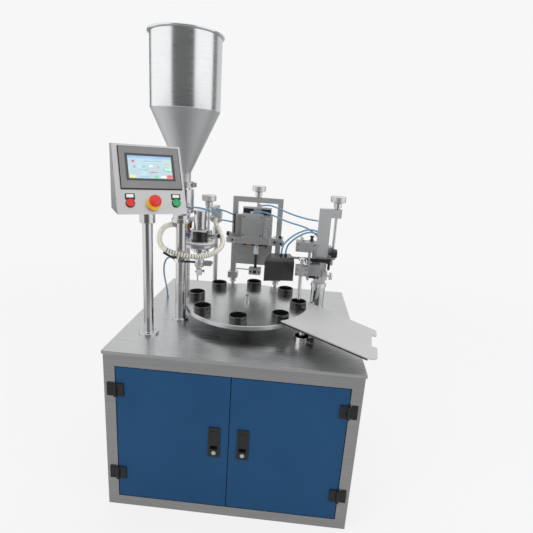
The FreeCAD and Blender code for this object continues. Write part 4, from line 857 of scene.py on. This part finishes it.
def cappingHead():
    c = capping
    top, front, left, mid, right = (c[key] for key in ("plateTop", "front", "left", "mid", "right"))
    # split lines, end caps and covers of the pressing cylinder, then the dark manifold behind it
    dress("cap_carriage", (
        ("head_front_cover", "midAluminium", 0.8, [((left - 0.8, front - 1.2, top + 7),
            (mid + 0.6, front + 3, top + 111))]),
        ("head_end_cap", "blockAluminium", 0.8, [
            ((left - 1.2, front - 1.6, top + 94), (mid + 1, front + 30, top + 113.2)),
            ((left - 1.2, front - 1.6, top + 0.3), (mid + 1, front + 30, top + 9))]),
        ("head_side_cover", "castAluminium dark_aluminium", 0.8, [
            ((mid + 0.4, front + 10.6, top + 4), (right + 0.6, front + 14, top + 98))]),
        ("head_side_rib", "lightAluminium dark_aluminium", 0.4, [
            ((mid + 10, front + 9.4, top + 2), (mid + 13, front + 12, top + 100))]),
        ("head_manifold", "blackSatin", 0.8, [((-69, 244.7, top + 112.4), (-22, 269.7, top + 134)),
                                              ((16, 244.7, top + 108), (61, 269.7, top + 134))]),
        ("manifold_strip", "castAluminium dark_aluminium", 0.8,
            [((-71, 243.7, top + 134.4), (63, 270.2, top + 141))]),
        # black strip in the slot beside the left cover: painted shade in the gap
        ("head_left_gap_shade", "blackSatin", 0.4, [((-109.5, 240.4, top + 14), (-104.4, 268.7, top + 104))]),
        ("head_left_cover", "midAluminium", 0.8, [((-103.6, 240.8, top + 17), (-71.6, 244, top + 103))]),
        ("head_left_foot", "midAluminium", 0.8, [((-104, 242.9, top + 0.2), (-71, 270.5, top + 17.2))])))
    places = [((x, front - 3, top + z), outward) for x in (-62, 20) for z in (14, 100)]
    scatter("head_screws", places, 4.2, 3, "cap_carriage")


def cappingPlate():
    low, top, front = capping["plateLow"], capping["plateTop"], capping["front"]
    y, z = 236, top + 10
    # clamps and knobs on the plate, packing strip and brass bushes under it
    dress("cap_carriage", (
        ("plate_clamps", "lightAluminium", 1.0, [((-139.5, front - 0.6, low + 1), (-96, front + 4, top - 1)),
                                                 ((88, front - 0.6, low + 1), (131, front + 4, top - 1)),
                                                 ((62, front - 10, low + 2), (100, front + 1, top + 9))]),
        ("plate_screws", "blackSatin black_metal", 0.5, [
            ((-110, front - 4, low + 14), (-110, front + 2, low + 14), 5),
            ((88, front - 14, top - 8), (88, front - 6, top - 8), 5),
            ((118, front - 4, low + 12), (118, front + 2, low + 12), 5)]),
        ("plate_knobs", "blackSatin", 1.2, [((-128, y, z), (-142, y, z), 11), ((-128, y, z), (-120, y, z), 6),
                                            ((112, y, top + 12), (112, 222, top + 12), 7)]),
        ("knob_lugs", "castAluminium", 1.2, [((-132, 228, top - 1), (-112, 246, top + 18)),
                                             ((96, 228, top - 1), (122, 248, top + 14))]),
        ("plate_underside", "blackSatin", 0.8, [((-64, 234, low - 12), (56, 260, low - 0.4))]),
        ("brass_bushes", "brass", 0.5, [((-46, 233, low - 7), (-22, 233, low - 7), 5),
                                        ((46, 232, low - 16), (46, 244, low - 16), 6),
                                        ((-94, 262, low - 8), (-94, 250, low - 8), 6)])))
    scatter("back_plate_screws", [((x, 262.6, low - 60), outward) for x in (-84, -50, 40, 66)], 4.2, 3,
        "cap_carriage")


def pressParts():
    x, y = station(2)
    body, slot = "press_head", " aluminium"
    turned("press_guide", [(6.4, 868), (13, 868), (13, 884), (11.6, 886), (11.6, 900), (6.4, 900)], x, y,
           "milkyPlastic" + slot, body)
    turned("press_rod_sleeve", [(6.2, 799), (6.9, 799), (6.9, 867.5), (6.2, 867.5)], x, y,
        "blackSatin" + slot, body)
    # black block on the press head: painted shade in its recess
    dress(body, [("press_recess_shade", "blackSatin" + slot, 0.3, [((x - 7.4, y - 15.6, 774.6),
        (x + 7.4, y - 12.2, 789.4))])])
    scatter("press_screws", [((x + dx, y - 21, 783), outward) for dx in (-20, 20)], 3.5, 2.4, body,
        blackScrewTree)
    for side, legX in (("left", -110.5), ("right", 102.5)):
        turned("foot_collar_" + side, [(8.3, 704), (14, 704), (14.6, 704.6), (14.6, 719.4), (14, 720),
            (8.3, 720)], legX, 285, "chrome", "base")


cappingHead()
cappingPlate()
pressParts()
print("closing station dressed")


# ejecting station
def starKnob(name, centre, r, thickness, body):
    # lobed grip turned about X, with a hub
    lobes, depth, steps, hub = 5, 0.14, 60, 0.42
    cx, cy, cz = centre
    bm = bmesh.new()
    rings = []
    for x, scale in ((0, 0.86), (2, 1.0), (thickness - 3, 1.0), (thickness, 0.84)):
        turns = [2 * math.pi * i / steps for i in range(steps)]
        radii = [scale * r * (1 - depth + depth * math.cos(lobes * t)) for t in turns]
        points = [(cx + x, cy + q * math.cos(t), cz + q * math.sin(t)) for q, t in zip(radii, turns)]
        rings.append([bm.verts.new(point) for point in points])
    skin(bm, rings)
    bm.faces.new(rings[0][::-1])
    bm.faces.new(rings[-1])
    addRod(bm, (cx - 14, cy, cz), (cx + 1, cy, cz), r * hub)
    finished(bevelled(bmObject(name, bm), 0.8, degrees=30), "blackSatin", body, 30)


def ejectorParts():
    body = "eject_carriage"
    starKnob("height_lock_knob", (341, 48, 938), 20, 22, body)
    dress(body, (
        ("ejector_arm_cover", "blackSatin", 1.2, [((252, 40.4, 896.4), (338.4, 55.6, 911.8)),
                                                  ((328, 40.4, 866), (338.4, 55.6, 897))]),
        ("ejector_black_bracket", "blackSatin", 1.0, [((254, 33, 830), (272, 41.6, 893)),
                                                      ((240, 33, 826), (294.4, 41.6, 845))]),
        ("loop_pins", "chrome", 0.5, [((233, 20, 902), (233, 38, 902), 4),
            ((243, 20, 900), (243, 38, 900), 4), ((229, 19, 896), (247, 19, 896), 2.6)]),
        ("block_face", "dimAluminium aluminium", 0.8, [((188, 8.8, 946), (272, 11, 982))]),
        ("rod_clamp", "midAluminium", 0.8, [((191, -27, 853), (242.6, -24, 885))]),
        ("ejector_side_rod", "chrome", 0.5, [((207, 22, 984), (207, 22, 1010), 5)])))
    places = [((263, 31.6, z), outward) for z in (840, 860, 882)] + [((284, 31.6, 836), outward)]
    scatter("bracket_screws", places, 3.6, 2.6, body)
    turned("block_fitting", [(0, 984.4), (8, 984.4), (8, 992), (6, 994), (6, 1001), (9, 1002), (9, 1007),
        (0, 1008)], 252, 54, "blackSatin", body, sides=24)
    turned("block_nut", [(0, 984.4), (9, 984.4), (9, 990), (4, 991), (4, 1000), (0, 1000.4)],
           212, 40, "chrome", body, sides=6)
    places = [((x, 7.8, z), outward) for x in (196, 262) for z in (952, 976)] + \
        [((x, -28, z), outward) for x in (198, 236) for z in (858, 880)]
    scatter("block_screws", places, 3.8, 2.6, body)
    dress("base", (
        ("column_set_levers", "chrome", 1.0, [((327, 40, 842), (345, 40, 842), 5),
            ((345, 40, 826), (345, 40, 856), 7.5)]),
        ("column_set_block", "lightAluminium", 1.2, [((308, 34, 822), (330, 58.6, 860))])))
    turned("column_collar", [(29.3, 782), (33, 782), (34, 783), (34, 797), (33, 798), (29.3, 798)],
           300, 75, "chrome", "base")
    turned("column_sleeve", [(29.2, 656), (30.4, 656), (30.4, 781), (29.2, 781)], 300, 75, "mirrorSteel",
        "base")


# guard hood over the ejector: a curved dark sheet with a rounded shoulder
hood = {"width": 127.0, "low": 814.0, "bend": 887.0, "r": 25.0, "flange": 60.0, "corner": 40.0, "yaw": 15.0,
    "place": (63.0, -20.0), "thick": 2.0, "columns": 40, "foot": 6.0, "drop": 0.62, "narrow": 0.12,
    "ear": 241.9}


def guardHood():
    h = hood
    low, bend, r, corner = h["low"], h["bend"], h["r"], h["corner"]
    top = bend + r
    turns = [math.radians(a) for a in range(9, 91, 9)]
    profile = [(0, low + (bend - low) * i / 8) for i in range(9)]
    profile += [(r - r * math.cos(t), bend + r * math.sin(t)) for t in turns]
    profile += [(r + h["flange"] * i / 6, top) for i in range(1, 7)]
    turn = Matrix.Translation((*h["place"], 0)) @ Matrix.Rotation(math.radians(h["yaw"]), 4, "Z")
    bm = bmesh.new()
    rows = []
    for i in range(h["columns"] + 1):
        u = h["width"] * i / h["columns"]
        fall, narrow = 0.0, 1.0
        if u < corner:
            fall = (corner - math.sqrt(max(0.0, corner ** 2 - (corner - u) ** 2))) * h["drop"]
            narrow = max(h["narrow"], u / corner)
        rows.append([])
        for y, z in profile:
            share = (z - low) / (top - low)
            sag = h["foot"] * math.sin(math.pi * u / h["width"]) * (1 - share) ** 3
            rows[-1].append(bm.verts.new(turn @ Vector((u, y * narrow, z - fall * share ** 2 + sag / 4))))
    for a, b in zip(rows, rows[1:]):
        for j in range(len(profile) - 1):
            bm.faces.new((a[j], b[j], b[j + 1], a[j + 1]))
    obj = bmObject("guard_hood", bm)
    mod = obj.modifiers.new("thickness", "SOLIDIFY")
    mod.thickness = h["thick"] * mm
    mod.offset = 0.0
    finished(bake(obj), "hoodSheet", "eject_carriage", 45, "guard_sheet")
    ear = h["ear"]
    dress("eject_carriage", [("guard_ear", "hoodSheet", 0.4, [
        ((ear - 90, 26.2, top - 3.4), (ear - 0.2, 53.8, top - 0.4)),
        ((ear - 2.4, 26.2, top - 20), (ear - 0.2, 53.8, top - 2))])])
    scatter("guard_screws", [((ear - x, 48, top), upward) for x in (12, 40)], 4.5, 3, "eject_carriage")
    for number in (6, 7):
        x, y, z = airRoutes[number - 1][-1]
        turned("guard_fitting_%d" % number, [(3.7, top - 0.6), (7, top - 0.6), (7, top + 5), (5.4, top + 7),
            (5.4, top + 11), (3.7, top + 11)], x, y, "blackSatin", "eject_carriage", sides=24)


ejectorParts()
guardHood()
print("ejecting station dressed")


# filling station
def bentRod(name, points, r, label, body):
    line = smoothLine(name + "_line", [Vector(p) * mm for p in points], r, (8, 3))
    mesh = baked(line)
    bpy.data.objects.remove(line)
    finished(linkObject(name, mesh, True), label, body, 0)


def fillParts():
    body = "fill_carriage"
    x, y = valve["x"], valve["y"]
    dress(body, (
        ("actuator_clamp_bar", "castAluminium", 1.0, [((-189, 30, 971), (-151, 44, 985))]),
        # thin black strip on the clamp bar's front: painted shade in its slot
        ("clamp_bar_slot_shade", "blackSatin", 0.2, [((-184, 29.4, 976), (-164, 31, 980))]),
        ("clamp_bar_knob", "blackSatin", 1.4, [((-152, 37, 978), (-140, 37, 978), 4),
            ((-148, 37, 978), (-138, 37, 978), 9)]),
        ("actuator_ports", "chrome", 0.5, [((-255, 14, 978), (-262, 14, 978), 6),
            ((-252, 14, 958), (-258, 14, 958), 5)]),
        ("actuator_fitting", "fittingBlue", 1.0, [((-262, 14, 978), (-276, 12, 979), 7.5)]),
        ("actuator_fitting_end", "blackSatin", 0.8, [((-276, 12, 979), (-284, 11, 980), 6.5)]),
        ("sensor_strip", "blackSatin", 1.0, [((-263, 8, 1008), (-256, 24, 1038))])))
    bentRod("sensor_wire_yellow", [(-262, 6, 996), (-268, 2, 1004), (-274, 4, 1014), (-272, 12, 1024),
        (-262, 18, 1030)], 4.2, "wireYellow", body)
    bentRod("sensor_wire_brown", [(-256, -4, 994), (-262, -8, 1004), (-266, -4, 1014), (-264, 8, 1026),
        (-256, 16, 1034)], 4.4, "wireBrown", body)
    turned("valve_disc", [(37, 949.3), (62, 949.3), (64, 950.3), (64, 954.5), (62, 956), (37, 956)], x, y,
           "milkyPlastic", body, degrees=30)
    turned("valve_disc_lower", [(37.5, 930.4), (56, 930.4), (58, 932), (58, 939), (37.5, 939.6)], x, y,
           "castAluminium stainless", body, degrees=30)
    scatter("disc_screws", ring(x, y, 53, 6, 957.2, 15), 4.2, 3, body)


def nozzleParts():
    x, y = valve["x"], valve["y"]
    turned("nozzle_holder", [(6.2, 842), (17, 842), (20, 846), (22, 862), (22, 870), (18, 876), (6.2, 876)],
        x, y, "castAluminium stainless", "nozzle", sides=48)
    turned("nozzle_sleeve", [(9.3, 806), (12, 806), (12.6, 807), (12.6, 830), (11, 832), (9.3, 832)], x, y,
           "milkyPlastic", "nozzle", sides=32)
    dress("nozzle", (
        ("nozzle_clips", "blackSatin", 0.5, [((x - 17, y, 818), (x - 12.8, y, 818), 3),
            ((x + 12.8, y, 824), (x + 22, y, 824), 3), ((x + 20, y, 818), (x + 20, y, 830), 2.2)]),
        ("nozzle_side_block", "dimAluminium stainless", 1.6, [((-196, 8, 850), (-168, 28, 870)),
                                                              ((-186, 7.2, 856), (-164, 28.8, 868))])))


def hoseSupport():
    # black bar that carries the hose, clamped to the hopper column
    turned("hose_bar_collar", [(20.3, 892), (27, 892), (28, 893), (28, 907), (27, 908), (20.3, 908)],
           -268, -101, "chrome", "base")
    bentRod("hose_bar", [(-286, -112, 904), (-298, -118, 910), (-314, -126, 921), (-330, -132, 932)], 5.0,
            "blackSatin", "base")
    bentRod("hose_bar_front", [(-262, -124, 899), (-250, -132, 901), (-230, -134, 903), (-206, -122, 900)],
        4.4, "blackSatin", "base")
    dress("base", [("column_ring_screws", "chrome", 0.5, [
        ((-268, -137.6, 1059), (-268, -141, 1059), 5), ((-240, -126, 1059), (-238, -128.6, 1059), 5)])])


fillParts()
nozzleParts()
hoseSupport()
print("filling station dressed")


# knurled knobs of the three height adjusters, on their screws
grip = {"r": 31.5, "neck": 16.0, "screw": 6.0, "notches": 36, "depth": 0.9, "sides": 144}
adjusters = (("fill_knob", -205, 112, 1088), ("cap_knob", -4, 285, 1128), ("eject_knob", 347, 75, 1124))


def heightKnobs():
    r, neck, screw = grip["r"], grip["neck"], grip["screw"]
    turns = [2 * math.pi * i / grip["sides"] for i in range(grip["sides"])]
    for name, x, y, top in adjusters:
        low, high = (corner[2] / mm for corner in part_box(name))
        foot = top + 0.5
        bm = bmesh.new()
        addLathe(bm, [(0, low), (screw - 1, low), (screw, low + 1), (screw, foot), (11, foot),
            (12, foot + 1), (12, foot + 5), (neck - 1, foot + 6), (neck, foot + 7), (neck, foot + 24),
            (neck - 2, foot + 26), (12, foot + 28), (12, high - 24), (0, high - 24)], x, y, 48)
        loops = []
        for edge, z in ((r - 3, high - 25), (r, high - 22.5), (r, high - 2.5), (r - 2.5, high)):
            radii = [edge - grip["depth"] * (0.5 + 0.5 * math.cos(grip["notches"] * t)) for t in turns]
            points = [(x + q * math.cos(t), y + q * math.sin(t), z) for q, t in zip(radii, turns)]
            loops.append([bm.verts.new(point) for point in points])
        skin(bm, loops)
        bm.faces.new(loops[0][::-1])
        bm.faces.new(loops[-1])
        finished(bmObject(name + "_grip", bm), "knurledSteel", name, 40, name)


heightKnobs()
print("height knobs")


# delivery tray bracket and latches
def trayParts():
    dress("base", (
        ("tray_bracket", "blackPaint", 1.0, [((196, -214, 700), (206, -160, 713.6)),
            ((206, -214, 706), (236, -190, 713.6))]),
        ("tray_bracket_slots", "chrome", 0.5, [((195, y, 706), (197, y, 706), 3.4) for y in (-196, -178)])))
    # dark strip under the front edge, from the tip to the far front corner: painted shadow under the tray's
    # edge
    start, end = Vector((150.5, -207.5, 0)), Vector((440, -448.2, 0))
    along = end - start
    turn = Matrix.Translation(start) @ Matrix.Rotation(math.atan2(along.y, along.x), 4, "Z")
    dress("base", [("tray_front_shadow", "blackPaint tray_sheet", 0.4,
        [((0, 0.6, 708.5), (along.length, 3.4, 714.8))])], turn)
    scatter("tray_screws", [((x, y, 719.4), upward) for x, y in ((372, -286), (380, -270))], 3.4, 1.2, "base")


def latchParts():
    for side, x in (("left", -52), ("right", 52)):
        # thin black plate on each door: painted shade in the latch recess
        dress("door_" + side, [("latch_recess_shade_" + side, "blackSatin", 0.3, [
            ((x - 15, -427.4, 336), (x + 15, -426.2, 372))])])


trayParts()
latchParts()
print("tray and latches")


# floor, world and lamps
stageSizes = {"floor": 24.0, "white": 0.93, "world": 0.62, "bright": 1.3, "near": 1.3, "far": 3.8,
    "mirrorNear": 2.0, "mirrorFar": 3.2, "key": 50.0, "fill": 30.0, "top": 40.0, "ceiling": 0.85,
    "mirrored": 0.40, "under": 0.5}
# what metal mirrors: degrees round from the doors towards the right hand, and how light the room is there
roomBands = ((-180, 0.62), (-152, 0.62), (-147, 0.20), (-125, 0.20), (-119, 1.0), (-33, 1.0), (-27, 0.14),
             (38, 0.14), (44, 1.0), (104, 1.0), (110, 0.20), (126, 0.20), (132, 0.62), (180, 0.62))


def highest(tree, first, *others):
    for value in others:
        first = calc(tree, "MAXIMUM", first, value)
    return first


def roomLevel(tree, x, y):
    angle = calc(tree, "ARCTAN2", x, calc(tree, "MULTIPLY", y, -1.0))
    ramp = node(tree, "ShaderNodeValToRGB", (spread(tree, angle, 0, 1, -math.pi, math.pi),))
    elements = ramp.color_ramp.elements
    elements.remove(elements[-1])
    for i, (degrees, level) in enumerate(roomBands):
        element = elements[0] if i == 0 else elements.new((degrees + 180) / 360)
        element.position = (degrees + 180) / 360
        element.color = (level, level, level, 1)
    return ramp.outputs[0]


def mixedShaders(tree, factor, a, b):
    return node(tree, "ShaderNodeMixShader", (factor, a.outputs[0], b.outputs[0]))


def makeWorld():
    world = bpy.data.worlds.new("studio")
    bpy.context.scene.world = world
    world.use_nodes = True
    tree = world.node_tree
    tree.nodes.clear()
    ray = node(tree, "ShaderNodeLightPath").outputs
    coord = node(tree, "ShaderNodeTexCoord")
    x, y, z = node(tree, "ShaderNodeSeparateXYZ", (coord.outputs["Generated"],)).outputs
    level = blended(tree, spread(tree, z, 0, 1, 0.42, 0.75), roomLevel(tree, x, y), stageSizes["ceiling"])
    white = stageSizes["white"]
    plain = node(tree, "ShaderNodeBackground", Color=(1, 1, 1, 1), Strength=stageSizes["world"])
    seen = node(tree, "ShaderNodeBackground", Color=(white, white, white, 1), Strength=1.0)
    mirror = node(tree, "ShaderNodeBackground", Color=level, Strength=stageSizes["bright"])
    first = mixedShaders(tree, ray["Is Glossy Ray"], plain, mirror)
    last = mixedShaders(tree, highest(tree, ray["Is Camera Ray"], ray["Is Transmission Ray"]), first, seen)
    node(tree, "ShaderNodeOutputWorld", Surface=last.outputs[0])


def makeFloor():
    s = stageSizes
    half, low = s["floor"] / 2, -s["under"] * mm
    mesh = bpy.data.meshes.new("floor")
    mesh.from_pydata([(-half, -half, low), (half, -half, low), (half, half, low), (-half, half, low)], [],
        [(0, 1, 2, 3)])
    floor = linkObject("floor", mesh)
    mat, tree, shader = newMaterial("paleFloor", {
        "Base Color": (0.90, 0.90, 0.90, 1), "Roughness": 0.9, "Specular IOR Level": 0.1})
    ray = node(tree, "ShaderNodeLightPath").outputs
    place = objectSpace(tree)
    x, y = node(tree, "ShaderNodeSeparateXYZ", (place,)).outputs[:2]
    distance = node(tree, "ShaderNodeVectorMath", (place,), operation="LENGTH").outputs["Value"]
    # near the machine the floor keeps its shadow, far off it turns into the background
    share = spread(tree, spread(tree, distance, 0, 1, s["near"], s["far"]), 0.84, 1.0, 0, 1)
    mirrored = blended(tree, spread(tree, distance, 0, 1, s["mirrorNear"], s["mirrorFar"]), s["mirrored"],
                       roomLevel(tree, x, y))
    glow = node(tree, "ShaderNodeEmission", Strength=1.0,
                Color=blended(tree, ray["Is Glossy Ray"], s["white"], mirrored))
    seen = highest(tree, ray["Is Camera Ray"], ray["Is Transmission Ray"], ray["Is Glossy Ray"])
    mix = mixedShaders(tree, calc(tree, "MULTIPLY", seen, share), shader, glow)
    tree.links.new(mix.outputs[0], tree.nodes["Material Output"].inputs["Surface"])
    floor.data.materials.append(mat)


def makeLamps():
    for name, place, height, size in (("key", (-2.6, -3.0, 3.2), 0.7, (1.8, 1.8)),
                                      ("fill", (3.2, -2.2, 2.0), 0.7, (1.6, 2.2)),
                                      ("top", (0.2, 0.6, 3.6), 0.6, (2.4, 2.4))):
        data = bpy.data.lights.new(name + "Lamp", "AREA")
        data.shape = "RECTANGLE"
        data.size, data.size_y = size
        data.energy = stageSizes[name]
        lamp = linkObject(name + "Lamp", data)
        lamp.location = place
        lamp.rotation_euler = (Vector((0, 0, height)) - Vector(place)).to_track_quat("-Z", "Y").to_euler()
        lamp.visible_glossy = False


makeWorld()
makeFloor()
makeLamps()
bpy.context.scene.view_settings.view_transform = "Standard"
print("stage ready")
